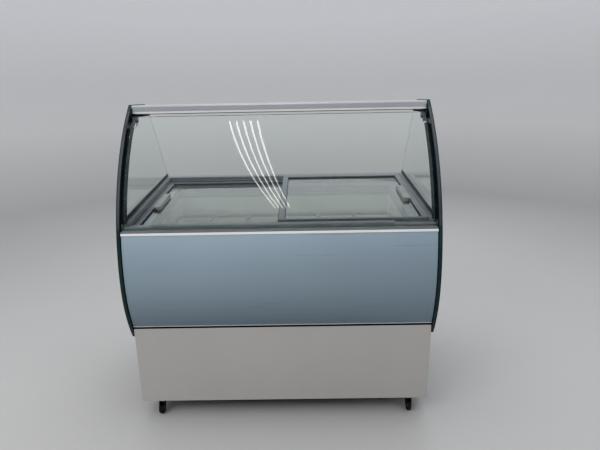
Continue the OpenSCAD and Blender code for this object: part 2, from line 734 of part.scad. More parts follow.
module caster_wheel(sx, row) color("black") caster_at(sx, row) translate([0, -caster_trail, axle_z])
    rotate([0, 90, 0]) rotate_extrude() difference() {
        union() {
            translate([0, -wheel_w / 2]) square([10, wheel_w]);
            translate([0, -wheel_w / 2 + 4]) square([20, wheel_w - 8]);
            translate([17, -wheel_w / 2 + 3]) square([wheel_d / 2 - 17, wheel_w - 6]);
            translate([17, -wheel_w / 2]) square([wheel_d / 2 - 20, wheel_w]);
        }
        translate([-1, -wheel_w]) square([1 + axle_r + 0.05, 2 * wheel_w]);
    }

// Drawing ------------------------------------------------------------------------------------

cabinet_shell();
base_pan();
rear_panel();
rear_grille();
foam_insulation();
well_liner();
breaker_strip();
deck_front_rail();
deck_rear_rail();
deck_side_rail(-1);  // deck_side_rail_left
deck_side_rail(1);  // deck_side_rail_right
lid_track_front();
lid_track_rear();
lid_frame(-1);  // lid_left_frame
lid_glass(-1);  // lid_left_glass
lid_handle(-1);  // lid_left_handle
lid_glides(-1);  // lid_left_glides
lid_frame(1);  // lid_right_frame
lid_glass(1);  // lid_right_glass
lid_handle(1);  // lid_right_handle
lid_glides(1);  // lid_right_glides
end_frame(-1);  // end_frame_left
end_frame(1);  // end_frame_right
side_glass(-1);  // side_glass_left
side_glass(1);  // side_glass_right
side_channel(-1);  // side_channel_left
side_channel(1);  // side_channel_right
top_bar();
canopy_lamp();
lamp_diffuser();
front_glass();
glass_hinge_hubs();
glass_hinge_pins();
glass_side_seals();
front_panel();
panel_top_trim();
panel_bottom_trim();
tub_rack();
rack_brackets();
compressor();
condenser_coil();
fan_shroud();
fan_blades();
refrigerant_pipes();
evaporator_coil();
control_plate();
thermostat_knob();
rocker_switch();
cable_gland();
drain_plug();
fixing_screws();
caster_plates();
caster_fork(-1, 0);  // caster_fork_front_left
caster_fork(1, 0);  // caster_fork_front_right
caster_fork(-1, 1);  // caster_fork_rear_left
caster_fork(1, 1);  // caster_fork_rear_right
caster_wheel(-1, 0);  // caster_wheel_front_left
caster_wheel(1, 0);  // caster_wheel_front_right
caster_wheel(-1, 1);  // caster_wheel_rear_left
caster_wheel(1, 1);  // caster_wheel_rear_right
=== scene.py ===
"""Looks of the ice cream dipping cabinet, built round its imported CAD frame.

Metres, +X to the customer's right, +Y to the operator's side, +Z up.
"""

import math

import bmesh
import bpy
from mathutils import Matrix, Vector


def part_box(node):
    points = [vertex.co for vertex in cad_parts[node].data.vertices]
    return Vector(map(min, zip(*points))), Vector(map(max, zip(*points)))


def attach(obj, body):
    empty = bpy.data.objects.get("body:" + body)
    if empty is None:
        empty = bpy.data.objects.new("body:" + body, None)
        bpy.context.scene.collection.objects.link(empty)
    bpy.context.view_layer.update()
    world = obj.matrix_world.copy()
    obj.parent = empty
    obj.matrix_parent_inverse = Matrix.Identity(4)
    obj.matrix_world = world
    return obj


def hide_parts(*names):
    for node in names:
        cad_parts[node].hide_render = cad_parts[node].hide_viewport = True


bl_info = {
    "name": "Dipping Cabinet",
    "version": (1, 0, 0),
    "blender": (4, 5, 0),
    "location": "View3D > Sidebar > Cabinet",
    "description": "Builds the pieces, finishes and studio of an ice cream dipping cabinet",
    "category": "Object",
}

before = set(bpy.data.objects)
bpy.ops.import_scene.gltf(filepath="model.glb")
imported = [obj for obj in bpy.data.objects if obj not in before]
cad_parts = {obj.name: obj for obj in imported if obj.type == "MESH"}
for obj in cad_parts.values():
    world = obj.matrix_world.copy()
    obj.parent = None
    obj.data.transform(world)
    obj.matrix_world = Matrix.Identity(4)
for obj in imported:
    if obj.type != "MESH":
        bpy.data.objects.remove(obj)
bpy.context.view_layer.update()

MM = 0.001
# Points nearer than this are one
WELD = 1e-5
SIDES = (("left", -1), ("right", 1))
X_AXIS = Vector((1, 0, 0))

# The front curve: an upper and a lower arc that meet at the nose
NOSE_Z = 0.644
UPPER_CENTRE = Vector((0, 0.5575, NOSE_Z))
UPPER_R = 0.930
LOWER_CENTRE = Vector((0, 0.1775, NOSE_Z))
LOWER_R = 0.550

# The deck's own frame, sloping up to the operator's side
DECK = Matrix.Translation((0, -0.2325, 0.9035)) @ Matrix.Rotation(math.radians(6.7), 4, "X")
DECK_UP = DECK.to_3x3() @ Vector((0, 0, 1))
# The opening in the deck, front to back in the deck's frame, and half its width
DECK_FRONT, DECK_REAR = -0.074, 0.548
DECK_HALF = 0.5965

# The end frames' faces along X, the heights of their front and inner bands, and their screws
FRAME_INSIDE, FRAME_OUTSIDE = 0.6260, 0.6400
BAND_LOW, BAND_HIGH = 0.872, 1.318
INNER_LOW, INNER_HIGH = 0.894, 1.290
SCREW_HEIGHTS = (0.48, 0.60, 0.72, 0.83)
SCREW_INSET, SCREW_CLEAR = 40 * MM, 8 * MM
# The stop pins' place, from the side
PIN_Y, PIN_Z = -0.3195, 0.8745

# The lids in the deck's frame: the ends of each along X, their front and rear, and their tops
LIDS = (("left", -0.594, 0.004, -0.023), ("right", -0.004, 0.594, 0.001))
LID_FRONT, LID_REAR = -0.0735, 0.5495
LID_DEPTH = 15 * MM
STILE, SLIM_BAR, MEETING_STILE = 25 * MM, 13 * MM, 12 * MM

# The well liner's sheet, its floor above the end of the spout, and the drain's place
LINER_SHEET = 2 * MM
SPOUT_DROP = 68 * MM
DRAIN = (-0.400, -0.120)

# Along Y: the casing below the front panel, and the face of the control plate
CASING_FACE = -0.3272
PLATE_FACE = 0.35545


# Mesh helpers ---------------------------------------------------------------------------------


def face_outwards(bm):
    bmesh.ops.recalc_face_normals(bm, faces=bm.faces[:])


def piece(name, bm, body, materials, replaces=(), sharp=32):
    """Make a finished object from a bmesh, smooth-shaded up to a sharp angle, riding on a body."""
    face_outwards(bm)
    mesh = bpy.data.meshes.new(name)
    bm.to_mesh(mesh)
    bm.free()
    for material in materials:
        mesh.materials.append(material)
    mesh.polygons.foreach_set("use_smooth", [True] * len(mesh.polygons))
    mesh.set_sharp_from_angle(angle=math.radians(sharp))
    obj = bpy.data.objects.new(name, mesh)
    bpy.context.scene.collection.objects.link(obj)
    normals = obj.modifiers.new("Flat faces", "WEIGHTED_NORMAL")
    normals.keep_sharp = True
    normals.weight = 90
    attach(obj, body)
    if replaces:
        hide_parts(*replaces)


def dress(node, material, bevel=0.0, segments=2, angle=30):
    """Give a CAD node its finish, and break its sharp edges."""
    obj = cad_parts[node]
    obj.data.materials.clear()
    obj.data.materials.append(material)
    if bevel:
        weld = obj.modifiers.new("Weld", "WELD")
        weld.merge_threshold = WELD
        edges = obj.modifiers.new("Edges", "BEVEL")
        edges.width = bevel
        edges.segments = segments
        edges.limit_method = "ANGLE"
        edges.angle_limit = math.radians(angle)


def merged_copy(node):
    """A bmesh of a CAD node's shape with its loose triangles joined."""
    bm = bmesh.new()
    bm.from_mesh(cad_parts[node].data)
    bmesh.ops.remove_doubles(bm, verts=bm.verts[:], dist=WELD)
    face_outwards(bm)
    return bm


def corner_edges(bm, angle=30, shortest=0.0, where=None):
    """Edges sharper than an angle and longer than a length, of those that a test picks."""
    found = []
    for edge in bm.edges:
        if len(edge.link_faces) != 2 or edge.calc_length() < shortest:
            continue
        if edge.calc_face_angle(0) < math.radians(angle):
            continue
        if where is None or where((edge.verts[0].co + edge.verts[1].co) / 2):
            found.append(edge)
    return found


def round_edges(bm, width, edges=None, segments=3):
    """Round edges to a width; all the sharp ones when none are named."""
    bmesh.ops.bevel(
        bm,
        geom=corner_edges(bm) if edges is None else edges,
        offset=width,
        offset_type="OFFSET",
        segments=segments,
        profile=0.5,
        affect="EDGES",
        clamp_overlap=True,
        material=-1,
    )


def add_block(bm, low, high, place=None):
    """A rectangular block between two corners."""
    low, high = Vector(low), Vector(high)
    shape = Matrix.Translation((low + high) / 2) @ Matrix.Diagonal((*(high - low), 1))
    bmesh.ops.create_cube(bm, size=1, matrix=(place or Matrix()) @ shape)


def add_disc(bm, centre, axis, radius, depth, segments, radius_far=None):
    """A disc or cone that starts at a centre and runs along an axis."""
    axis = Vector(axis).normalized()
    turn = axis.to_track_quat("Z", "Y").to_matrix().to_4x4()
    bmesh.ops.create_cone(
        bm,
        cap_ends=True,
        segments=segments,
        radius1=radius,
        radius2=radius if radius_far is None else radius_far,
        depth=depth,
        matrix=Matrix.Translation(Vector(centre) + axis * depth / 2) @ turn,
    )


def arc_angle(radius, z):
    return math.asin((z - NOSE_Z) / radius)


def curved_bar(bm, inset, depth, x0, x1, z0, z1, steps=40):
    """A bar that follows the front curve between two heights, set back by an inset."""
    centre, radius = (UPPER_CENTRE, UPPER_R) if z0 >= NOSE_Z else (LOWER_CENTRE, LOWER_R)
    outer = radius - inset
    start = arc_angle(outer, z0)
    corners = []
    for r, x in ((outer, x0), (outer, x1), (outer - depth, x1), (outer - depth, x0)):
        out = Vector((0, -math.cos(start), math.sin(start)))
        corners.append(bm.verts.new(centre + out * r + X_AXIS * x))
    face = bm.faces.new(corners)
    legs = [(centre, arc_angle(outer, min(z1, NOSE_Z) if z0 < NOSE_Z else z1) - start)]
    if z0 < NOSE_Z < z1:
        legs.append((UPPER_CENTRE, arc_angle(UPPER_R - inset, z1)))
    geom = [face]
    for pivot, angle in legs:
        made = bmesh.ops.spin(
            bm, geom=geom, cent=pivot, axis=-X_AXIS, angle=angle, steps=steps, use_duplicate=False
        )
        geom = made["geom_last"]
    bmesh.ops.remove_doubles(bm, verts=bm.verts[:], dist=1e-6)
    face_outwards(bm)


def lathe(bm, profile, centre, upright=False, steps=48):
    """Turn a profile of (radius, distance) points about an axle along X, or an upright one."""
    centre = Vector(centre)
    if upright:
        points = [(r, 0, along) for r, along in profile]
    else:
        points = [(along, 0, r) for r, along in profile]
    verts = [bm.verts.new(centre + Vector(point)) for point in points]
    edges = [bm.edges.new(pair) for pair in zip(verts, verts[1:] + verts[:1])]
    bmesh.ops.spin(
        bm,
        geom=verts + edges,
        cent=centre,
        axis=(0, 0, 1) if upright else X_AXIS,
        angle=math.tau,
        steps=steps,
        use_merge=True,
        use_duplicate=False,
    )
    bmesh.ops.remove_doubles(bm, verts=bm.verts[:], dist=1e-6)


def mitred_bars(bm, low, high, width, z0, z1, joint, place):
    """Four bars round a rectangle, each its own solid, meeting in mitred corners.

    The width is one for all, or a list for the front, right, rear and left bars.
    """
    front, right, rear, left = (width,) * 4 if isinstance(width, float) else width
    outer = [Vector(p) for p in ((low[0], low[1]), (high[0], low[1]), (high[0], high[1]), (low[0], high[1]))]
    inward = [Vector(p) for p in ((left, front), (-right, front), (-right, -rear), (left, -rear))]
    for i in range(4):
        k = (i + 1) % 4
        gap = (outer[k] - outer[i]).normalized() * joint
        outline = (
            outer[i] + gap, outer[k] - gap, outer[k] + inward[k] - gap, outer[i] + inward[i] + gap
        )
        face = bm.faces.new([bm.verts.new((p.x, p.y, z1)) for p in outline])
        made = bmesh.ops.extrude_face_region(bm, geom=[face])
        moved = [v for v in made["geom"] if isinstance(v, bmesh.types.BMVert)]
        bmesh.ops.translate(bm, verts=moved, vec=(0, 0, z0 - z1))
    bmesh.ops.transform(bm, matrix=place, verts=bm.verts[:])
    face_outwards(bm)


def rim_faces(bm, inside):
    """Give the narrow edge faces of a pane the second finish."""
    for face in bm.faces:
        face.material_index = 0 if abs(face.normal.dot(inside(face))) > 0.9 else 1


# Shared effects -------------------------------------------------------------------------------


def put(tree, kind, links=None, **values):
    """Add a node: values are its settings, links its inputs by name or number."""
    node = tree.nodes.new(kind)
    for key, value in values.items():
        setattr(node, key, value)
    for key, value in (links or {}).items():
        if isinstance(value, bpy.types.NodeSocket):
            tree.links.new(value, node.inputs[key])
        else:
            node.inputs[key].default_value = value
    return node


def noise(tree, vector, scale, detail=3.0, rough=0.5):
    links = {"Vector": vector, "Scale": scale, "Detail": detail, "Roughness": rough}
    return put(tree, "ShaderNodeTexNoise", links).outputs["Fac"]


def span(tree, value, from_low, from_high, to_low=0.0, to_high=1.0):
    """Map one range of a value onto another."""
    links = {0: value, 1: from_low, 2: from_high, 3: to_low, 4: to_high}
    return put(tree, "ShaderNodeMapRange", links).outputs[0]


def blend_colours(tree, factor, a, b):
    return put(tree, "ShaderNodeMix", {0: factor, 6: a, 7: b}, data_type="RGBA").outputs[2]


def combine(tree, a, b, operation="MULTIPLY"):
    return put(tree, "ShaderNodeMath", {0: a, 1: b}, operation=operation).outputs[0]


def stretched(tree, given):
    """The object's coordinates, stretched to draw lines out of round noise."""
    links = {0: given["Vector"], 1: given["Stretch"]}
    return put(tree, "ShaderNodeVectorMath", links, operation="MULTIPLY").outputs[0]


def fine_grain(tree, given):
    """Fine moulding or paint grain, as a height."""
    fine = noise(tree, given["Vector"], given["Scale"], 2.0)
    wide = noise(tree, given["Vector"], 7.0, 2.0)
    return (combine(tree, fine, combine(tree, wide, given["Waviness"]), "ADD"),)


def cloudiness(tree, given):
    """Slow drift between a low and a high value, such as handling marks in a gloss."""
    cloud = noise(tree, given["Vector"], given["Scale"], 5.0, 0.62)
    return (span(tree, cloud, 0.3, 0.7, given["Low"], given["High"]),)


def colour_drift(tree, given):
    """Two close colours drifting over the surface."""
    mask = span(tree, noise(tree, given["Vector"], given["Scale"], 4.0), 0.32, 0.68)
    return (blend_colours(tree, mask, given["Colour"], given["Other"]),)


def floor_dust(tree, given):
    """Floor dust and splash that gather towards the bottom of a piece."""
    height = put(tree, "ShaderNodeSeparateXYZ", {0: given["Vector"]}).outputs[2]
    low = span(tree, height, given["Top"], given["Bottom"])
    patches = span(tree, noise(tree, given["Vector"], 14.0, 6.0, 0.65), 0.35, 0.75)
    mask = combine(tree, combine(tree, low, patches), given["Strength"])
    return (blend_colours(tree, mask, given["Colour"], given["Dust"]),)


def hairlines(tree, given):
    """Sparse hairline scratches, long along X, as a mask."""
    lines = span(tree, noise(tree, stretched(tree, given), 1.0, 1.0, 0.4), 0.70, 0.74)
    patches = span(tree, noise(tree, given["Vector"], 4.0, 2.0), 0.5, 0.62)
    return (combine(tree, combine(tree, lines, patches), given["Amount"]),)


def drawn_lines(tree, given):
    """Drawing or brushing lines of an extrusion, as a value and a height."""
    lines = noise(tree, stretched(tree, given), 1.0, 3.0, 0.6)
    return span(tree, lines, 0.3, 0.7, given["Low"], given["High"]), lines


GREY = (0.5, 0.5, 0.5, 1)
DUST = (0.33, 0.29, 0.24, 1)

# Each effect: what wires it, its inputs besides the coordinates, and its outputs
EFFECTS = {
    "Fine grain": (fine_grain, {"Scale": 900.0, "Waviness": 0.2}, {"Height": "Float"}),
    "Cloudiness": (cloudiness, {"Scale": 6.0, "Low": 0.3, "High": 0.5}, {"Value": "Float"}),
    "Colour drift": (colour_drift, {"Colour": GREY, "Other": GREY, "Scale": 2.5}, {"Colour": "Color"}),
    "Floor dust": (
        floor_dust, {"Colour": GREY, "Dust": DUST, "Top": 0.3, "Bottom": 0.08, "Strength": 0.4},
        {"Colour": "Color"},
    ),
    "Hairlines": (hairlines, {"Stretch": (3.0, 60.0, 320.0), "Amount": 0.7}, {"Mask": "Float"}),
    "Drawn lines": (
        drawn_lines, {"Stretch": (1.2, 700.0, 700.0), "Low": 0.25, "High": 0.42},
        {"Value": "Float", "Height": "Float"},
    ),
}


def effect_group(name):
    """The node group of a shared effect, built when it is first asked for."""
    if name in bpy.data.node_groups:
        return bpy.data.node_groups[name]
    wire, inputs, outputs = EFFECTS[name]
    group = bpy.data.node_groups.new(name, "ShaderNodeTree")
    for label, default in {"Vector": (0.0, 0.0, 0.0), **inputs}.items():
        kind = "Float" if isinstance(default, float) else {3: "Vector", 4: "Color"}[len(default)]
        socket = group.interface.new_socket(label, in_out="INPUT", socket_type="NodeSocket" + kind)
        socket.default_value = default
    for label, kind in outputs.items():
        group.interface.new_socket(label, in_out="OUTPUT", socket_type="NodeSocket" + kind)
    given = group.nodes.new("NodeGroupInput").outputs
    out = group.nodes.new("NodeGroupOutput").inputs
    for label, result in zip(outputs, wire(group, given)):
        group.links.new(result, out[label])
    return group


# Finishes -------------------------------------------------------------------------------------


def tone(colour, factor):
    return tuple(min(1.0, c * factor) for c in colour[:3]) + (1.0,)


def solid(colour):
    return tuple(colour[:3]) + (1.0,)


class Finish:
    """One material being put together: a Principled shader and the object's own coordinates."""

    def __init__(self, name, **constants):
        self.material = bpy.data.materials.new(name)
        self.material.use_nodes = True
        self.tree = self.material.node_tree
        self.shader = self.tree.nodes["Principled BSDF"]
        self.vector = self.tree.nodes.new("ShaderNodeTexCoord").outputs["Object"]
        for socket, value in constants.items():
            self.shader.inputs[socket.replace("_", " ")].default_value = value

    def effect(self, name, **values):
        """Use a shared effect in this finish; gives its outputs."""
        links = {"Vector": self.vector, **values}
        return put(self.tree, "ShaderNodeGroup", links, node_tree=effect_group(name)).outputs

    def feed(self, socket, value):
        self.tree.links.new(value, self.shader.inputs[socket])

    def mottle(self, colour, other, scale):
        """Two close colours drifting into each other."""
        return self.effect("Colour drift", Colour=solid(colour), Other=solid(other), Scale=scale)["Colour"]

    def dust(self, base, top, bottom, strength, dust=DUST):
        """A colour that gathers floor dust from one height down to another."""
        heights = {"Top": top, "Bottom": bottom}
        return self.effect("Floor dust", Colour=base, Dust=dust, Strength=strength, **heights)["Colour"]

    def colour(self, colour, other, scale):
        self.feed("Base Color", self.mottle(colour, other, scale))

    def scratch(self, base, mark, amount, stretch=(3.0, 60.0, 320.0)):
        """Colour crossed by sparse hairline scratches."""
        mask = self.effect("Hairlines", Stretch=stretch, Amount=amount)["Mask"]
        self.feed("Base Color", blend_colours(self.tree, mask, base, mark))

    def gloss(self, scale, low, high):
        """Roughness that drifts between a low and a high value."""
        self.feed("Roughness", self.effect("Cloudiness", Scale=scale, Low=low, High=high)["Value"])

    def relief(self, height, strength, distance):
        links = {"Height": height, "Strength": strength, "Distance": distance}
        self.feed("Normal", put(self.tree, "ShaderNodeBump", links).outputs["Normal"])

    def grain(self, scale, strength, distance, waviness=0.2):
        """Fine relief of a moulded or painted face."""
        self.relief(self.effect("Fine grain", Scale=scale, Waviness=waviness)["Height"], strength, distance)

    def draw(self, low, high, strength, stretch=(1.2, 700.0, 700.0)):
        """Drawing lines, in the roughness and in the relief."""
        lines = self.effect("Drawn lines", Stretch=stretch, Low=low, High=high)
        self.feed("Roughness", lines["Value"])
        self.relief(lines["Height"], strength, 0.0003)


def panel_finish(finishes):
    """Silver-blue lacquered sheet with hairline scratches, and painted shade that darkens it towards its
    lower edge and its right side.
    """
    f = Finish("Silver blue panel", Metallic=0.45, Coat_Weight=0.35, Coat_Roughness=0.18)
    shade_tone = solid(finishes.panel_painted_shade)
    place = put(f.tree, "ShaderNodeSeparateXYZ", {0: f.vector}).outputs
    # Painted shade: the colour darkens towards the panel's lower edge and towards its right side
    down = span(f.tree, place[2], 0.84, 0.47)
    across = span(f.tree, place[0], -0.3, 0.9, 0.0, 0.4)
    base = f.mottle(finishes.panel, tone(finishes.panel, 0.93), 1.6)
    base = blend_colours(f.tree, across, blend_colours(f.tree, down, base, shade_tone), shade_tone)
    f.scratch(base, tone(finishes.panel_painted_shade, 0.7), 0.55)
    f.gloss(5.0, 0.30, 0.42)
    f.grain(1400.0, 0.06, 0.0004, 0.5)
    return f.material


def casing_finish(finishes):
    """White stove-enamelled steel, a little dusty towards the floor."""
    f = Finish("White casing", Coat_Weight=0.2, Coat_Roughness=0.2)
    base = f.mottle(finishes.casing, tone(finishes.casing, 0.955), 2.2)
    f.scratch(f.dust(base, 0.30, 0.08, 0.22), tone(finishes.casing, 0.7), 0.25, (40.0, 40.0, 260.0))
    f.gloss(4.0, 0.30, 0.46)
    f.grain(700.0, 0.10, 0.0004, 0.8)
    return f.material


def cheek_finish(finishes):
    """Graphite moulded plastic of the end frames, with a leathery moulding grain."""
    f = Finish("Graphite cheek", Specular_IOR_Level=0.5)
    base = f.mottle(finishes.cheek, tone(finishes.cheek, 1.35), 9.0)
    f.feed("Base Color", f.dust(base, 0.7, 0.4, 0.15))
    f.gloss(12.0, 0.38, 0.55)
    f.grain(1100.0, 0.22, 0.0004, 0.1)
    return f.material


def band_finish(finishes):
    """Grey band let into the front and inner faces of the end frames."""
    f = Finish("Grey frame band", Metallic=0.2, Specular_IOR_Level=0.6)
    f.colour(finishes.frame_face, tone(finishes.frame_face, 1.5), 9.0)
    f.draw(0.30, 0.46, 0.05, (900.0, 3.0, 3.0))
    return f.material


def bar_finish(finishes):
    """Satin anodised aluminium of the top bar, drawn along its length."""
    f = Finish("Satin top bar", Metallic=0.75)
    f.colour(finishes.top_bar, tone(finishes.top_bar, 0.92), 1.5)
    f.draw(0.26, 0.40, 0.10)
    return f.material


def trim_finish(name, finishes):
    """Bright white-silver trim strips above and below the front panel."""
    f = Finish(name, Metallic=0.25, Coat_Weight=0.3, Coat_Roughness=0.15)
    f.colour(finishes.trim, tone(finishes.trim, 0.94), 6.0)
    f.draw(0.22, 0.34, 0.06)
    return f.material


def rail_finish(name, finishes, shade=1.0):
    """Blue-grey extruded rails and lid frames, with faint die lines and handling marks."""
    f = Finish(name, Metallic=0.3, Specular_IOR_Level=0.5)
    colour = tone(finishes.rail, shade)
    f.scratch(f.mottle(colour, tone(colour, 0.88), 7.0), tone(colour, 1.5), 0.45, (8.0, 160.0, 300.0))
    f.draw(0.30, 0.46, 0.10, (1.5, 500.0, 500.0))
    return f.material


def handle_finish(finishes):
    """Grey moulded grips, worn smooth and a little browned where hands reach."""
    f = Finish("Grey grip", Specular_IOR_Level=0.5)
    f.colour(tone(finishes.rail, 1.35), (0.30, 0.27, 0.23), 22.0)
    f.gloss(30.0, 0.28, 0.5)
    f.grain(1300.0, 0.18, 0.0003, 0.1)
    return f.material


def liner_finish(finishes):
    """White well liner with a faint green cast and frost-dulled patches."""
    f = Finish("Well liner", Coat_Weight=0.15, Coat_Roughness=0.3)
    base = f.mottle(finishes.liner, tone(finishes.liner, 0.9), 3.0)
    f.feed("Base Color", f.dust(base, 0.62, 0.46, 0.3, (0.45, 0.47, 0.40, 1)))
    f.gloss(8.0, 0.32, 0.58)
    f.grain(500.0, 0.12, 0.0006, 1.2)
    return f.material


def breaker_finish(finishes):
    """Olive-grey ribbed breaker round the mouth of the well."""
    f = Finish("Olive breaker", Specular_IOR_Level=0.4)
    f.colour(finishes.breaker, tone(finishes.breaker, 0.8), 5.0)
    f.gloss(10.0, 0.42, 0.62)
    f.grain(900.0, 0.15, 0.0004)
    return f.material


def rack_finish(finishes):
    """Grey powder coat of the tub rack, rubbed at the bars."""
    f = Finish("Rack coating", Specular_IOR_Level=0.45)
    base = f.mottle(finishes.rack, tone(finishes.rack, 0.85), 8.0)
    f.scratch(base, tone(finishes.rack, 1.4), 0.4, (60.0, 20.0, 60.0))
    f.gloss(14.0, 0.38, 0.58)
    f.grain(800.0, 0.3, 0.0004, 0.1)
    return f.material


def glass_finish(name, tint):
    """Clear float glass; lamps shine through it as through a real pane."""
    f = Finish(name, Base_Color=solid(tint), Roughness=0.0, IOR=1.46, Transmission_Weight=1.0)
    f.grain(3.0, 0.006, 0.0006, 0.3)
    clear = put(f.tree, "ShaderNodeBsdfTransparent", {"Color": tone(tint, 0.98)})
    path = put(f.tree, "ShaderNodeLightPath")
    links = {0: path.outputs["Is Shadow Ray"], 1: f.shader.outputs[0], 2: clear.outputs[0]}
    mix = put(f.tree, "ShaderNodeMixShader", links)
    f.tree.links.new(mix.outputs[0], f.tree.nodes["Material Output"].inputs["Surface"])
    return f.material


def glass_edge_finish(name, finishes):
    """Ground and polished pane edges, where the glass shows its green."""
    f = Finish(name, Specular_IOR_Level=0.6, Coat_Weight=0.5, Coat_Roughness=0.1)
    f.colour(finishes.glass_edge, tone(finishes.glass_edge, 0.7), 30.0)
    f.gloss(60.0, 0.12, 0.3)
    return f.material


def plain_finish(name, constants, colour, other, scale, gloss, grain=None):
    """Nothing but two drifting colours, a cloudy gloss and perhaps a grain."""
    f = Finish(name, **constants)
    f.colour(colour, other, scale)
    f.gloss(*gloss)
    if grain:
        f.grain(*grain)
    return f.material


def plated_finish(name, colour=(0.52, 0.53, 0.54), low=0.25, high=0.42):
    """Plated steel with a patchy spangle."""
    f = Finish(name, Metallic=0.9)
    cells = put(f.tree, "ShaderNodeTexVoronoi", {"Vector": f.vector, "Scale": 160.0})
    spangle = span(f.tree, cells.outputs["Distance"], 0.0, 0.8)
    f.feed("Base Color", blend_colours(f.tree, spangle, solid(colour), tone(colour, 0.8)))
    f.gloss(30.0, low, high)
    f.grain(1200.0, 0.08, 0.0003)
    return f.material


def enamel_finish():
    """Black enamel of the compressor can, dusty on its shoulders."""
    f = Finish("Black enamel", Coat_Weight=0.3, Coat_Roughness=0.2)
    base = f.mottle((0.02, 0.02, 0.021), (0.04, 0.04, 0.04), 12.0)
    f.feed("Base Color", f.dust(base, 0.26, 0.1, 0.5))
    f.gloss(16.0, 0.3, 0.5)
    f.grain(500.0, 0.15, 0.0004, 0.4)
    return f.material


def foam_finish():
    """Poured insulation foam, skinned and pitted."""
    f = Finish("Insulation foam", Specular_IOR_Level=0.2)
    cells = put(f.tree, "ShaderNodeTexVoronoi", {"Vector": f.vector, "Scale": 220.0})
    f.colour((0.72, 0.58, 0.32), (0.55, 0.40, 0.2), 8.0)
    f.gloss(40.0, 0.75, 0.95)
    f.relief(cells.outputs["Distance"], 0.5, 0.001)
    return f.material


def diffuser_finish():
    """Frosted prismatic cover under the lamp."""
    f = Finish("Frosted diffuser", Transmission_Weight=0.35, IOR=1.49)
    f.colour((0.88, 0.9, 0.9), (0.82, 0.84, 0.84), 6.0)
    f.gloss(20.0, 0.4, 0.6)
    ribs = put(f.tree, "ShaderNodeTexWave", {"Vector": f.vector, "Scale": 60.0}, bands_direction="X")
    f.relief(ribs.outputs["Fac"], 0.4, 0.0006)
    return f.material


def tyre_finish():
    """Hard black tread, dusty from the floor."""
    f = Finish("Caster tread", Specular_IOR_Level=0.3)
    f.feed("Base Color", f.dust((0.02, 0.02, 0.02, 1), 0.05, 0.0, 0.45))
    f.gloss(40.0, 0.5, 0.75)
    f.grain(900.0, 0.3, 0.0004)
    return f.material


def stage_finish():
    """Plain pale studio paper, darkest on the floor and palest high on the wall."""
    f = Finish("Studio paper", Specular_IOR_Level=0.15)
    height = put(f.tree, "ShaderNodeSeparateXYZ", {0: f.vector}).outputs[2]
    floor = f.mottle((0.44, 0.435, 0.43), (0.42, 0.415, 0.41), 0.35)
    wall = blend_colours(f.tree, span(f.tree, height, 0.0, 0.9), floor, (0.64, 0.635, 0.63, 1))
    high = span(f.tree, height, 0.9, 2.6)
    f.feed("Base Color", blend_colours(f.tree, high, wall, (0.80, 0.79, 0.81, 1)))
    f.gloss(3.0, 0.75, 0.9)
    return f.material


BLACK = ((0.015, 0.015, 0.016), (0.028, 0.028, 0.03), 15.0)
BLACK_GRAIN = (1500.0, 0.08, 0.0003)
NYLON = {"Subsurface_Weight": 0.1, "Subsurface_Scale": 0.004}
NYLON_GLOSS, NYLON_GRAIN = (30.0, 0.35, 0.55), (1200.0, 0.1, 0.0003)

# The finishes that go by name: what makes each, and its values. For a plain one these are the
# shader's constants, two colours, the scale of their drift, the gloss and the grain.
SHARED = {
    "Grey deck rail": (rail_finish,),
    "Bright trim": (trim_finish,),
    "Polished glass edge": (glass_edge_finish,),
    "Zinc plated steel": (plated_finish,),
    "Galvanised pan": (plated_finish,),
    "Bright steel": (plated_finish, (0.72, 0.73, 0.74), 0.12, 0.22),
    "Dark steel": (plated_finish, (0.16, 0.16, 0.165), 0.3, 0.5),
    "Black gasket": (
        plain_finish, {"Specular_IOR_Level": 0.3}, (0.012, 0.013, 0.014), (0.03, 0.031, 0.032), 20.0,
        (18.0, 0.55, 0.75), (1600.0, 0.2, 0.0003),
    ),
    "Black moulding": (
        plain_finish, {"Coat_Weight": 0.25, "Coat_Roughness": 0.12}, *BLACK, (25.0, 0.22, 0.38), BLACK_GRAIN
    ),
    "Dull black moulding": (
        plain_finish, {"Coat_Weight": 0.0, "Coat_Roughness": 0.12}, *BLACK, (25.0, 0.5, 0.7), BLACK_GRAIN
    ),
    "Nylon": (
        plain_finish, NYLON, (0.78, 0.77, 0.72), (0.702, 0.693, 0.648), 20.0, NYLON_GLOSS, NYLON_GRAIN
    ),
    "Nylon grey": (
        plain_finish, NYLON, (0.3, 0.3, 0.3), (0.27, 0.27, 0.27), 20.0, NYLON_GLOSS, NYLON_GRAIN
    ),
    "Copper tube": (
        plain_finish, {"Metallic": 1.0}, (0.72, 0.34, 0.19), (0.38, 0.20, 0.12), 24.0,
        (30.0, 0.28, 0.5), (900.0, 0.1, 0.0003),
    ),
    "Lamp tube": (
        plain_finish, {"Coat_Weight": 0.8, "Coat_Roughness": 0.05}, (0.86, 0.87, 0.88), (0.8, 0.81, 0.82),
        10.0, (15.0, 0.3, 0.4),
    ),
    "Green rocker": (
        plain_finish, {"Coat_Weight": 0.6, "Coat_Roughness": 0.08}, (0.03, 0.32, 0.08), (0.02, 0.2, 0.05),
        50.0, (60.0, 0.2, 0.32),
    ),
    "White marking": (plain_finish, {}, (0.8, 0.8, 0.78), (0.7, 0.7, 0.68), 80.0, (80.0, 0.5, 0.7)),
}


def shared(name, *given):
    """A finish that is made once and used by every piece that needs it."""
    make, *values = SHARED[name]
    return bpy.data.materials.get(name) or make(name, *given, *values)


# Settings -------------------------------------------------------------------------------------


def colour_setting(name, what, default):
    return bpy.props.FloatVectorProperty(
        name=name, description=what, subtype="COLOR", size=3, min=0.0, max=1.0, default=default
    )


def length_setting(name, what, default, highest):
    return bpy.props.FloatProperty(
        name=name, description=what, unit="LENGTH", subtype="DISTANCE",
        min=0.0, max=highest, default=default, precision=4,
    )


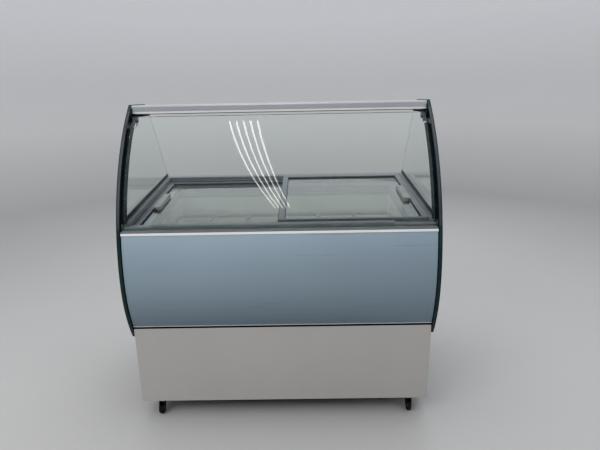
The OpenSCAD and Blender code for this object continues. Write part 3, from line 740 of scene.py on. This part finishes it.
class CabinetFinishes(bpy.types.PropertyGroup):
    """Colours of the cabinet's finishes."""

    panel: colour_setting("Front panel", "Lacquer of the curved front panel", (0.40, 0.50, 0.575))
    # The colour of the front panel's painted shade, which also gives its scratch marks their colour
    panel_painted_shade: colour_setting("Panel's painted shade", "Painted shade towards the front panel's lower edge and right side", (0.20, 0.25, 0.29))
    casing: colour_setting("Casing", "Enamel of the outer casing", (0.415, 0.402, 0.385))
    cheek: colour_setting("End frames", "Moulded plastic of the end frames", (0.022, 0.032, 0.031))
    rail: colour_setting("Rails", "Deck rails and lid frames", (0.21, 0.225, 0.24))
    top_bar: colour_setting("Top bar", "Anodised top bar", (0.56, 0.575, 0.60))
    trim: colour_setting("Trim", "Bright strips along the front panel", (0.80, 0.80, 0.79))
    liner: colour_setting("Well liner", "Inside of the well", (0.39, 0.42, 0.345))
    breaker: colour_setting("Breaker", "Ribbed strip round the mouth of the well", (0.17, 0.18, 0.145))
    rack: colour_setting("Tub rack", "Coating of the tub rack", (0.042, 0.042, 0.035))
    frame_face: colour_setting("End frame face", "Grey band of the end frames", (0.052, 0.056, 0.060))
    glass: colour_setting("Glass", "Tint of the panes", (0.93, 0.965, 0.95))
    glass_edge: colour_setting("Glass edges", "Polished edges of the panes", (0.16, 0.30, 0.27))


class CabinetSizes(bpy.types.PropertyGroup):
    """Sizes of the detail that the looks add to the frame."""

    casing_corner: length_setting("Casing corner", "Radius of the casing's front corners", 5 * MM, 6 * MM)
    cheek_round: length_setting("End frame rounding", "Rounding of the end frames", 2.5 * MM, 5 * MM)
    edge_line: length_setting("Edge line", "Dark outer edge beside the end frames' band", 4.5 * MM, 8 * MM)
    glass_bevel: length_setting("Pane bevel", "Polished bevel round each pane", 0.8 * MM, 2 * MM)
    bar_round: length_setting("Bar rounding", "Rounding of the top bar", 2.2 * MM, 4 * MM)
    lid_round: length_setting("Lid rounding", "Rounding of the lid frames", 1.0 * MM, 3 * MM)
    mitre: length_setting("Mitre joint", "Gap at the lid frames' mitres", 0.15 * MM, 1 * MM)
    rack_round: length_setting("Rack rounding", "Rounding of the rack bars", 2.5 * MM, 5 * MM)
    dial_marks: bpy.props.IntProperty(
        name="Dial marks", description="Marks round the thermostat knob", default=8, min=2, max=12
    )


class StudioSettings(bpy.types.PropertyGroup):
    """The camera and the lights."""

    eye: bpy.props.FloatVectorProperty(
        name="Eye", description="Where the camera stands", subtype="TRANSLATION", unit="LENGTH",
        size=3, default=(0.098, -2.1015, 1.370),
    )
    lens: bpy.props.FloatProperty(name="Lens", description="Focal length in mm", default=28.02, min=10.0)
    pitch: bpy.props.FloatProperty(
        name="Pitch", description="How far the camera looks down", subtype="ANGLE",
        default=math.radians(15.49),
    )
    yaw: bpy.props.FloatProperty(
        name="Yaw", description="Turn of the camera to the right", subtype="ANGLE",
        default=math.radians(-0.50),
    )
    roll: bpy.props.FloatProperty(
        name="Roll", description="Tilt of the camera about its line of sight", subtype="ANGLE",
        default=math.radians(-1.07),
    )
    key: bpy.props.FloatProperty(
        name="Key light", description="Power of the key light", subtype="POWER", default=62.0, min=0.0
    )
    batten: bpy.props.FloatProperty(
        name="Battens", description="Power of one ceiling tube", subtype="POWER", default=2.0, min=0.0
    )
    daylight: bpy.props.FloatProperty(
        name="Daylight", description="Strength of the surrounding light", default=1.0, min=0.0
    )


# Pieces ---------------------------------------------------------------------------------------


class CabinetOperator:
    """What the building operators share."""

    bl_options = {"REGISTER", "UNDO"}

    def execute(self, context):
        self.build(context.scene.cabinet_finishes, context.scene.cabinet_sizes)
        return {"FINISHED"}


class BuildCasing(CabinetOperator, bpy.types.Operator):
    """Outer casing, base pan, rear panel, grille and screws"""

    bl_idname = "cabinet.casing"
    bl_label = "Casing"

    def build(self, finishes, sizes):
        white = casing_finish(finishes)
        low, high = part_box("cabinet_shell")
        bm = merged_copy("cabinet_shell")
        corners = corner_edges(
            bm, where=lambda p: abs(p.y - low.y) < 1e-4 and abs(abs(p.x) - high.x) < 1e-4
        )
        round_edges(bm, sizes.casing_corner, corners, segments=5)
        piece("casing_sheet", bm, "cabinet", [white], ["cabinet_shell"], sharp=25)
        dress("base_pan", shared("Galvanised pan"), 0.4 * MM)
        dress("rear_panel", white, 0.5 * MM)
        dress("rear_grille", white, 0.5 * MM)
        dress("fixing_screws", shared("Zinc plated steel"), 0.4 * MM)


class BuildFrontPanel(CabinetOperator, bpy.types.Operator):
    """Curved front panel with its bright trims"""

    bl_idname = "cabinet.front_panel"
    bl_label = "Front panel"

    def build(self, finishes, sizes):
        low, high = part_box("front_panel")
        bm = bmesh.new()
        curved_bar(bm, 6 * MM, 1.5 * MM, low.x, high.x, low.z + 0.2 * MM, high.z - 2.0 * MM)
        round_edges(bm, 0.4 * MM, segments=2)
        piece("panel_sheet", bm, "cabinet", [panel_finish(finishes)], ["front_panel"])
        bright = shared("Bright trim", finishes)
        low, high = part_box("panel_top_trim")
        bm = bmesh.new()
        curved_bar(bm, 2.2 * MM, 7 * MM, low.x, high.x, low.z - 1.5 * MM, low.z + 8.3 * MM, steps=6)
        round_edges(bm, 1.2 * MM, segments=3)
        piece("panel_top_strip", bm, "cabinet", [bright], ["panel_top_trim"], sharp=25)
        bm = bmesh.new()
        curved_bar(bm, 4.5 * MM, 6 * MM, low.x, high.x, low.z + 8.6 * MM, high.z + 1.5 * MM, steps=6)
        round_edges(bm, 0.8 * MM, segments=2)
        grey = shared("Grey deck rail", finishes)
        piece("panel_top_band", bm, "cabinet", [grey])
        low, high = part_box("panel_bottom_trim")
        bm = merged_copy("panel_bottom_trim")
        for vert in bm.verts:
            vert.co.z = high.z - (high.z - vert.co.z) / 2
        round_edges(bm, 0.8 * MM, corner_edges(bm, shortest=0.5), segments=3)
        piece("panel_bottom_strip", bm, "cabinet", [bright], ["panel_bottom_trim"], sharp=25)
        # A black strip under the bottom trim: partly a gasket, partly painted shadow along the dark line
        # beneath the panel
        bm = bmesh.new()
        add_block(
            bm, (low.x + 1 * MM, CASING_FACE - 1.8 * MM, low.z - 3.5 * MM),
            (high.x - 1 * MM, CASING_FACE, low.z + 5 * MM),
        )
        piece("panel_shadow_gasket", bm, "cabinet", [shared("Black gasket")])


class BuildEndFrames(CabinetOperator, bpy.types.Operator):
    """End frames with their edge strips, side channels and stop pins"""

    bl_idname = "cabinet.end_frames"
    bl_label = "End frames"

    def build(self, finishes, sizes):
        graphite = cheek_finish(finishes)
        strip = band_finish(finishes)
        grey = shared("Grey deck rail", finishes)
        outer = FRAME_OUTSIDE - sizes.edge_line
        # Each band: name, its faces along X, inset, depth, lower and upper end, rounding, finish
        bands = (
            ("cheek_band_", (FRAME_INSIDE + 0.2 * MM, outer), -0.15, 1.0, BAND_LOW, BAND_HIGH, 0.3, 2, strip),
            ("cheek_inner_band_", (FRAME_INSIDE - 0.2 * MM, FRAME_INSIDE - 1.0 * MM),
             1.5, 22, INNER_LOW, INNER_HIGH, 0.2, 1, strip),
            ("cheek_bead_", (FRAME_INSIDE - 0.2 * MM, FRAME_INSIDE - 1.6 * MM),
             24, 2.5, INNER_LOW, INNER_HIGH, 0.4, 2, grey),
        )
        for side, s in SIDES:
            node = "end_frame_" + side
            bm = merged_copy(node)
            edges = corner_edges(bm, where=self.clear_of_screws)
            round_edges(bm, sizes.cheek_round, edges, segments=3)
            piece("cheek_" + side, bm, "cabinet", [graphite], [node], sharp=40)
            for name, faces, inset, depth, low, high, rounding, segments, finish in bands:
                bm = bmesh.new()
                x0, x1 = sorted(s * face for face in faces)
                curved_bar(bm, inset * MM, depth * MM, x0, x1, low, high)
                round_edges(bm, rounding * MM, segments=segments)
                piece(name + side, bm, "cabinet", [finish])
            self.stop_pin(side, s)
            dress("side_channel_" + side, shared("Black gasket"), 0.6 * MM)

    @staticmethod
    def clear_of_screws(point):
        """Whether a place on an end frame is away from its screw holes."""
        for z in SCREW_HEIGHTS:
            centre, radius = (UPPER_CENTRE, UPPER_R) if z > NOSE_Z else (LOWER_CENTRE, LOWER_R)
            y = centre.y - math.sqrt(radius**2 - (z - NOSE_Z) ** 2) + SCREW_INSET
            if (point.y - y) ** 2 + (point.z - z) ** 2 < SCREW_CLEAR**2:
                return False
        return True

    @staticmethod
    def stop_pin(side, s):
        """A bright dome-headed pin inside each lower corner of the canopy."""
        bm = bmesh.new()
        start = Vector((s * (FRAME_INSIDE - 0.2 * MM), PIN_Y, PIN_Z))
        add_disc(bm, start, (-s, 0, 0), 4.5 * MM, 3 * MM, 24)
        add_disc(bm, start - Vector((s * 3 * MM, 0, 0)), (-s, 0, 0), 4.5 * MM, 2 * MM, 24, 2.5 * MM)
        round_edges(bm, 0.5 * MM, segments=2)
        piece("stop_pin_" + side, bm, "cabinet", [shared("Bright steel")])


class BuildCanopy(CabinetOperator, bpy.types.Operator):
    """Curved front glass on its hinges, and the flat side glass"""

    bl_idname = "cabinet.canopy"
    bl_label = "Canopy glass"

    def build(self, finishes, sizes):
        clear = glass_finish("Curved clear glass", finishes.glass)
        edge = shared("Polished glass edge", finishes)
        low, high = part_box("front_glass")
        bm = bmesh.new()
        curved_bar(bm, 4 * MM, 6 * MM, low.x, high.x, low.z, high.z - 1.0 * MM, steps=72)
        round_edges(bm, sizes.glass_bevel, segments=2)
        face_outwards(bm)
        rim_faces(bm, self.out_of_curve)
        for face in bm.faces:
            if face.calc_center_median().z > high.z - 4 * MM:
                face.material_index = 0
        piece("curved_pane", bm, "curved_glass", [clear, edge], ["front_glass"])
        flat = glass_finish("Side clear glass", finishes.glass)
        for side, s in SIDES:
            node = "side_glass_" + side
            bm = merged_copy(node)
            round_edges(bm, 0.5 * MM, corner_edges(bm, shortest=4 * MM), segments=2)
            face_outwards(bm)
            rim_faces(bm, lambda face: X_AXIS)
            piece("side_pane_" + side, bm, "cabinet", [flat, edge], [node])
            self.hub(side, s)
            self.arm(side, s)
        dress("glass_hinge_hubs", shared("Dull black moulding"), 1.0 * MM, 3)
        dress("glass_hinge_pins", shared("Dark steel"), 0.4 * MM)
        dress("glass_side_seals", shared("Black gasket"), 0.8 * MM)

    @staticmethod
    def out_of_curve(face):
        out = face.calc_center_median() - UPPER_CENTRE
        out.x = 0
        return out.normalized()

    @staticmethod
    def arm(side, s):
        """The channel that holds a side pane's top edge, under the end of the top bar."""
        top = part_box("side_glass_" + side)[1].z
        bar_low, bar_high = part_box("top_bar")
        bm = bmesh.new()
        inner, outer = sorted(s * (FRAME_INSIDE - back * MM) for back in (11.5, 0.8))
        add_block(bm, (inner, bar_low.y + 8 * MM, top - 11 * MM), (outer, bar_high.y, top + 0.2 * MM))
        round_edges(bm, 1.2 * MM, segments=2)
        piece("pane_arm_" + side, bm, "cabinet", [shared("Dull black moulding")])

    @staticmethod
    def hub(side, s):
        """A domed steel cap on the inner end of each hinge hub."""
        low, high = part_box("glass_hinge_pins")
        middle = (low + high) / 2
        bm = bmesh.new()
        inner = Vector((s * 0.6, middle.y, middle.z))
        add_disc(bm, inner, (-s, 0, 0), 4 * MM, 0.8 * MM, 32)
        add_disc(bm, inner - Vector((s * 0.8 * MM, 0, 0)), (-s, 0, 0), 3.4 * MM, 1.4 * MM, 32, 1.8 * MM)
        round_edges(bm, 0.4 * MM, segments=2)
        piece("hub_cap_" + side, bm, "curved_glass", [shared("Bright steel")])


class BuildTopBar(CabinetOperator, bpy.types.Operator):
    """Top bar with its lamp and frosted cover"""

    bl_idname = "cabinet.top_bar"
    bl_label = "Top bar"

    def build(self, finishes, sizes):
        bm = merged_copy("top_bar")
        low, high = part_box("top_bar")
        outside = corner_edges(
            bm, 20, shortest=0.9,
            where=lambda p: p.y < low.y + 8 * MM or p.y > high.y - 9 * MM or p.z > high.z - 1 * MM,
        )
        round_edges(bm, sizes.bar_round, outside, segments=3)
        piece("bar_extrusion", bm, "cabinet", [bar_finish(finishes)], ["top_bar"], sharp=25)
        # A bright strip along the bar's lower front: partly its lower lip, partly a painted highlight of the
        # ceiling lamps
        bm = bmesh.new()
        add_block(bm, (low.x + 1 * MM, low.y - 0.3 * MM, low.z + 3.2 * MM),
                  (high.x - 1 * MM, low.y + 0.5 * MM, low.z + 11 * MM))
        round_edges(bm, 0.25 * MM, segments=2)
        piece("bar_lip_painted_highlight", bm, "cabinet", [shared("Bright trim", finishes)])
        dress("canopy_lamp", shared("Lamp tube"), 0.8 * MM)
        dress("lamp_diffuser", diffuser_finish(), 0.3 * MM)


class BuildDeck(CabinetOperator, bpy.types.Operator):
    """Deck rails and lid tracks"""

    bl_idname = "cabinet.deck"
    bl_label = "Deck"

    def build(self, finishes, sizes):
        grey = shared("Grey deck rail", finishes)
        for node in ("deck_front_rail", "deck_rear_rail", "deck_side_rail_left", "deck_side_rail_right"):
            dress(node, grey, 0.9 * MM, 3)
        track = rail_finish("Grey lid track", finishes, 0.8)
        for node in ("lid_track_front", "lid_track_rear"):
            dress(node, track, 0.5 * MM)
        dark = shared("Black gasket")
        for side, s in SIDES:
            bm = bmesh.new()
            for out, width in ((4.0 * MM, 2.0 * MM), (12.0 * MM, 3.6 * MM)):
                x0, x1 = sorted((s * (DECK_HALF + out), s * (DECK_HALF + out + width)))
                add_block(bm, (x0, DECK_FRONT, -1 * MM), (x1, DECK_REAR, 0.35 * MM), DECK)
            piece("deck_grooves_" + side, bm, "cabinet", [dark])
        bm = bmesh.new()
        width = DECK_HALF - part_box("breaker_strip")[1].x + 13 * MM
        low, high = (-DECK_HALF, DECK_FRONT), (DECK_HALF, DECK_REAR)
        mitred_bars(bm, low, high, width, -43.6 * MM, -42.6 * MM, 0.0, DECK)
        piece("deck_apron", bm, "cabinet", [grey])


class BuildLids(CabinetOperator, bpy.types.Operator):
    """Two sliding lids: mitred frames, glazing gasket, glass, grips and glides"""

    bl_idname = "cabinet.lids"
    bl_label = "Lids"

    def build(self, finishes, sizes):
        frame_grey = rail_finish("Lid frame", finishes, 0.78)
        grip = handle_finish(finishes)
        gasket = shared("Black gasket")
        glass = glass_finish("Lid glass", finishes.glass)
        edge = shared("Polished glass edge", finishes)
        nylon = shared("Nylon")
        for side, x0, x1, top in LIDS:
            body = "lid_" + side
            bottom = top - LID_DEPTH
            low, high = (x0, LID_FRONT), (x1, LID_REAR)
            bars = (SLIM_BAR, MEETING_STILE if side == "left" else STILE, STILE, STILE)
            bm = bmesh.new()
            mitred_bars(bm, low, high, bars, bottom + 7.4 * MM, top, sizes.mitre, DECK)
            round_edges(bm, sizes.lid_round, segments=2)
            under = bmesh.new()
            mitred_bars(under, low, high, [w - 6 * MM for w in bars], bottom, bottom + 7.4 * MM,
                        sizes.mitre, DECK)
            round_edges(under, 0.6 * MM, segments=2)
            self.join(bm, under)
            pane_low = (x0 + bars[3] - 5.5 * MM, low[1] + bars[0] - 5.5 * MM)
            pane_high = (x1 - bars[1] + 5.5 * MM, high[1] - bars[2] + 5.5 * MM)
            lip = bmesh.new()
            mitred_bars(lip, pane_low, pane_high, 5.5 * MM, bottom, bottom + 3 * MM, sizes.mitre, DECK)
            self.join(bm, lip)
            piece("lid_bars_" + side, bm, body, [frame_grey], [f"lid_{side}_frame"])
            bm = bmesh.new()
            bead_low = (x0 + bars[3], low[1] + bars[0])
            bead_high = (x1 - bars[1], high[1] - bars[2])
            mitred_bars(bm, bead_low, bead_high, 2.2 * MM, bottom + 7.2 * MM, top - 4.5 * MM, 0.0, DECK)
            piece("lid_gasket_" + side, bm, body, [gasket])
            bm = bmesh.new()
            add_block(bm, (*pane_low, bottom + 3.1 * MM), (*pane_high, bottom + 7.1 * MM), DECK)
            round_edges(bm, 0.5 * MM, segments=2)
            face_outwards(bm)
            rim_faces(bm, lambda face: DECK_UP)
            piece("lid_pane_" + side, bm, body, [glass, edge], [f"lid_{side}_glass"])
            bm = merged_copy(f"lid_{side}_handle")
            round_edges(bm, 1.6 * MM, corner_edges(bm, 35, shortest=3 * MM), segments=3)
            piece("lid_grip_" + side, bm, body, [grip], [f"lid_{side}_handle"], sharp=40)
            dress(f"lid_{side}_glides", nylon, 0.3 * MM)

    @staticmethod
    def join(bm, other):
        """Add another bmesh's solids to this one."""
        mesh = bpy.data.meshes.new("joined")
        other.to_mesh(mesh)
        other.free()
        bm.from_mesh(mesh)
        bpy.data.meshes.remove(mesh)


class BuildWell(CabinetOperator, bpy.types.Operator):
    """Well liner, breaker strip, insulation, tub rack, brackets and drain plug"""

    bl_idname = "cabinet.well"
    bl_label = "Well"

    def build(self, finishes, sizes):
        self.tub(finishes)
        dress("breaker_strip", breaker_finish(finishes), 0.3 * MM)
        dress("foam_insulation", foam_finish(), 0.0)
        bm = merged_copy("tub_rack")
        round_edges(bm, sizes.rack_round, corner_edges(bm, 50), segments=3)
        piece("rack_tray", bm, "cabinet", [rack_finish(finishes)], ["tub_rack"], sharp=40)
        dress("rack_brackets", shared("Zinc plated steel"), 0.4 * MM)
        dress("drain_plug", shared("Nylon"), 0.8 * MM, 3)

    @staticmethod
    def tub(finishes):
        """The folded tub: rounded corners, coved floor, and a dished ring round the drain."""
        low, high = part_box("well_liner")
        floor = low.z + SPOUT_DROP
        bm = bmesh.new()
        add_block(
            bm, (low.x + LINER_SHEET, low.y + LINER_SHEET, floor),
            (high.x - LINER_SHEET, high.y - LINER_SHEET, 1.0),
        )
        upright = [e for e in bm.edges if abs(e.verts[0].co.z - e.verts[1].co.z) > 0.1]
        round_edges(bm, 16 * MM, upright, segments=8)
        around = [e for e in bm.edges if all(v.co.z < floor + 1 * MM for v in e.verts)]
        round_edges(bm, 9 * MM, around, segments=6)
        lid = [f for f in bm.faces if f.calc_center_median().z > 0.99]
        bmesh.ops.delete(bm, geom=lid, context="FACES_ONLY")
        rim = DECK @ Vector((0, 0, -95 * MM))
        everything = bm.verts[:] + bm.edges[:] + bm.faces[:]
        bmesh.ops.bisect_plane(bm, geom=everything, plane_co=rim, plane_no=DECK_UP, clear_outer=True)
        face_outwards(bm)
        bmesh.ops.solidify(bm, geom=bm.faces[:], thickness=-LINER_SHEET)
        ring = [(14.9, -60), (15.1, 0.2), (17, 0.9), (24, 0.9), (25, 0.1), (18, -0.6), (18, -60)]
        lathe(bm, [(r * MM, z * MM) for r, z in ring], (*DRAIN, floor), upright=True)
        piece("liner_tub", bm, "cabinet", [liner_finish(finishes)], ["well_liner"], sharp=35)


class BuildCooling(CabinetOperator, bpy.types.Operator):
    """Compressor, condenser, fan, pipes and evaporator"""

    bl_idname = "cabinet.cooling"
    bl_label = "Cooling set"

    def build(self, finishes, sizes):
        dress("compressor", enamel_finish(), 1.0 * MM, 3)
        dress("condenser_coil", shared("Zinc plated steel"), 0.2 * MM, 1)
        dress("fan_shroud", shared("Black moulding"), 0.8 * MM)
        dress("fan_blades", shared("Nylon grey"), 0.5 * MM)
        dress("refrigerant_pipes", shared("Copper tube"))
        dress("evaporator_coil", shared("Copper tube"))


class BuildControls(CabinetOperator, bpy.types.Operator):
    """Control plate with its dial marks, knob, rocker and cable gland"""

    bl_idname = "cabinet.controls"
    bl_label = "Controls"

    def build(self, finishes, sizes):
        black = shared("Black moulding")
        dress("control_plate", black, 0.6 * MM)
        dress("rocker_switch", shared("Green rocker"), 0.4 * MM)
        dress("cable_gland", black, 0.5 * MM)
        dress("thermostat_knob", black, 0.4 * MM)
        low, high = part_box("thermostat_knob")
        centre = Vector(((low.x + high.x) / 2, PLATE_FACE, (low.z + high.z) / 2))
        bm = bmesh.new()
        count = sizes.dial_marks
        for i in range(count):
            turn = Matrix.Rotation(math.radians(-150 + 300 * i / (count - 1)), 4, "Y")
            place = Matrix.Translation(centre) @ turn
            length = (2.0 + 2.2 * i / (count - 1)) * MM
            add_block(bm, (-0.5 * MM, 0, 21 * MM), (0.5 * MM, 0.25 * MM, 21 * MM + length), place)
        piece("dial_marks", bm, "cabinet", [shared("White marking")])


class BuildCasters(CabinetOperator, bpy.types.Operator):
    """Four swivel casters"""

    bl_idname = "cabinet.casters"
    bl_label = "Casters"

    def build(self, finishes, sizes):
        tread = tyre_finish()
        hub = shared("Nylon grey")
        zinc = shared("Zinc plated steel")
        dark = shared("Dark steel")
        dress("caster_plates", zinc, 0.4 * MM)
        for row in ("front", "rear"):
            for side, s in SIDES:
                dress(f"caster_fork_{row}_{side}", dark, 0.4 * MM)
                self.wheel(f"{row}_{side}", tread, hub)

    @staticmethod
    def wheel(place, tread, hub):
        node = "caster_wheel_" + place
        low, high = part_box(node)
        centre = (low + high) / 2
        core = [(4.1, -9), (9, -9), (10, -8), (10.5, -5.2), (16.2, -5.2), (16.8, -6)]
        tyre = [(17, -8.4), (18, -9), (21.5, -9), (24.2, -7), (25, -3.5)]
        bm = bmesh.new()
        for half in (core, tyre):
            mirrored = [(r, -along) for r, along in reversed(half)]
            lathe(bm, [(r * MM, along * MM) for r, along in half + mirrored], centre)
        for face in bm.faces:
            away = face.calc_center_median() - centre
            face.material_index = 1 if math.hypot(away.y, away.z) < 16.9 * MM else 0
        piece("wheel_" + place, bm, "wheel_" + place, [tread, hub], [node], sharp=28)


# Studio ---------------------------------------------------------------------------------------


COVE_RADIUS, COVE_HEIGHT, COVE_SWEEP = 6.5, 3.6, 1.6
# One ceiling batten of slim tubes, along the line of sight: its middle, a tube's size, and spacing
BATTEN = (-0.34, -3.1, 3.5)
BATTEN_TURN = 0.03
TUBE_SIZE = (0.016, 5.4)
TUBES = 5
TUBE_PITCH = 0.062


class BuildStudio(bpy.types.Operator):
    """Pale floor and cove, soft lights and the camera"""

    bl_idname = "cabinet.studio"
    bl_label = "Studio"
    bl_options = {"REGISTER", "UNDO"}

    def execute(self, context):
        settings = context.scene.cabinet_studio
        self.cove()
        self.camera(context, settings)
        self.lights(context, settings)
        return {"FINISHED"}

    @staticmethod
    def cove():
        """A round floor that turns up into a low wall, far from the cabinet."""
        bm = bmesh.new()
        outline = ((0.001, 0, 0), (COVE_RADIUS, 0, 0), (COVE_RADIUS, 0, COVE_HEIGHT))
        verts = [bm.verts.new(point) for point in outline]
        edges = [bm.edges.new(pair) for pair in zip(verts, verts[1:])]
        bmesh.ops.bevel(
            bm, geom=[verts[1]], offset=COVE_SWEEP, offset_type="OFFSET", segments=16, profile=0.5,
            affect="VERTICES", material=-1,
        )
        bmesh.ops.spin(
            bm, geom=bm.verts[:] + bm.edges[:], cent=(0, 0, 0), axis=(0, 0, 1), angle=math.tau,
            steps=96, use_merge=True, use_duplicate=False,
        )
        bmesh.ops.remove_doubles(bm, verts=bm.verts[:], dist=1e-5)
        centre = [v for v in bm.verts if math.hypot(v.co.x, v.co.y) < 0.01]
        if len(centre) > 1:
            bmesh.ops.pointmerge(bm, verts=centre, merge_co=(0, 0, 0))
        face_outwards(bm)
        if sum(f.normal.z for f in bm.faces) < 0:
            bmesh.ops.reverse_faces(bm, faces=bm.faces[:])
        mesh = bpy.data.meshes.new("studio_cove")
        bm.to_mesh(mesh)
        bm.free()
        mesh.polygons.foreach_set("use_smooth", [True] * len(mesh.polygons))
        mesh.materials.append(stage_finish())
        cove = bpy.data.objects.new("studio_cove", mesh)
        bpy.context.scene.collection.objects.link(cove)

    @staticmethod
    def camera(context, settings):
        yaw, pitch, roll = settings.yaw, settings.pitch, settings.roll
        ahead = Vector((math.sin(yaw) * math.cos(pitch), math.cos(yaw) * math.cos(pitch), -math.sin(pitch)))
        level = Vector((math.cos(yaw), -math.sin(yaw), 0))
        raised = level.cross(ahead)
        right = math.cos(roll) * level + math.sin(roll) * raised
        up = -math.sin(roll) * level + math.cos(roll) * raised
        turn = Matrix((right, up, -ahead)).transposed().to_4x4()
        data = bpy.data.cameras.new("studio_camera")
        data.lens = settings.lens
        data.sensor_width = 36.0
        camera = bpy.data.objects.new("studio_camera", data)
        camera.matrix_world = Matrix.Translation(settings.eye) @ turn
        context.scene.collection.objects.link(camera)
        context.scene.camera = camera

    @staticmethod
    def lights(context, settings):
        world = bpy.data.worlds.new("studio_daylight")
        world.use_nodes = True
        sky = world.node_tree.nodes["Background"]
        sky.inputs["Color"].default_value = (0.86, 0.89, 0.93, 1)
        sky.inputs["Strength"].default_value = settings.daylight
        context.scene.world = world
        soft = (
            ("key", (-2.6, -2.8, 3.0), (2.4, 1.8), 1.0, (1.0, 0.99, 0.97)),
            ("fill", (2.9, -2.4, 2.4), (2.2, 2.0), 0.25, (0.98, 0.98, 1.0)),
            ("top", (0.0, 0.2, 3.4), (3.0, 1.6), 0.55, (1.0, 1.0, 1.0)),
            ("back", (1.2, 3.0, 2.8), (2.4, 1.4), 0.35, (0.96, 0.98, 1.0)),
        )
        for name, place, size, share, colour in soft:
            aim = Vector((0, 0, 0.8)) - Vector(place)
            turn = aim.to_track_quat("-Z", "Y").to_matrix().to_4x4()
            lamp = BuildStudio.lamp(context, name, size, settings.key * share, colour)
            lamp.matrix_world = Matrix.Translation(place) @ turn
            lamp.visible_glossy = False
            lamp.visible_transmission = False
        for i in range(TUBES):
            tube = BuildStudio.lamp(context, f"tube_{i}", TUBE_SIZE, settings.batten, (1.0, 0.98, 0.94))
            across = (i - (TUBES - 1) / 2) * TUBE_PITCH
            turn = Matrix.Rotation(BATTEN_TURN, 4, "Z")
            tube.matrix_world = Matrix.Translation(BATTEN) @ turn @ Matrix.Translation((across, 0, 0))

    @staticmethod
    def lamp(context, name, size, power, colour):
        data = bpy.data.lights.new("studio_" + name, "AREA")
        data.shape = "RECTANGLE"
        data.size, data.size_y = size
        data.energy = power
        data.color = colour
        lamp = bpy.data.objects.new("studio_" + name, data)
        lamp.visible_camera = False
        context.scene.collection.objects.link(lamp)
        return lamp


class CabinetPanel(bpy.types.Panel):
    """Lists the pieces and their settings"""

    bl_idname = "VIEW3D_PT_cabinet"
    bl_label = "Dipping cabinet"
    bl_space_type = "VIEW_3D"
    bl_region_type = "UI"
    bl_category = "Cabinet"

    def draw(self, context):
        layout = self.layout
        for operator in BUILDERS:
            layout.operator(operator.bl_idname)
        for group in (
            context.scene.cabinet_finishes, context.scene.cabinet_sizes, context.scene.cabinet_studio
        ):
            box = layout.box()
            for name in group.__annotations__:
                box.prop(group, name)


BUILDERS = (
    BuildStudio,
    BuildCasing,
    BuildFrontPanel,
    BuildEndFrames,
    BuildCanopy,
    BuildTopBar,
    BuildDeck,
    BuildLids,
    BuildWell,
    BuildCooling,
    BuildControls,
    BuildCasters,
)
SETTINGS = (
    ("cabinet_finishes", CabinetFinishes),
    ("cabinet_sizes", CabinetSizes),
    ("cabinet_studio", StudioSettings),
)


def register():
    for name, group in SETTINGS:
        bpy.utils.register_class(group)
        setattr(bpy.types.Scene, name, bpy.props.PointerProperty(type=group))
    for operator in BUILDERS:
        bpy.utils.register_class(operator)
    bpy.utils.register_class(CabinetPanel)


def unregister():
    bpy.utils.unregister_class(CabinetPanel)
    for operator in reversed(BUILDERS):
        bpy.utils.unregister_class(operator)
    for name, group in reversed(SETTINGS):
        delattr(bpy.types.Scene, name)
        bpy.utils.unregister_class(group)


def main():
    register()
    bpy.context.scene.view_settings.view_transform = "Khronos PBR Neutral"
    for operator in BUILDERS:
        group, name = operator.bl_idname.split(".")
        getattr(getattr(bpy.ops, group), name)()


if __name__ == "__main__":
    main()
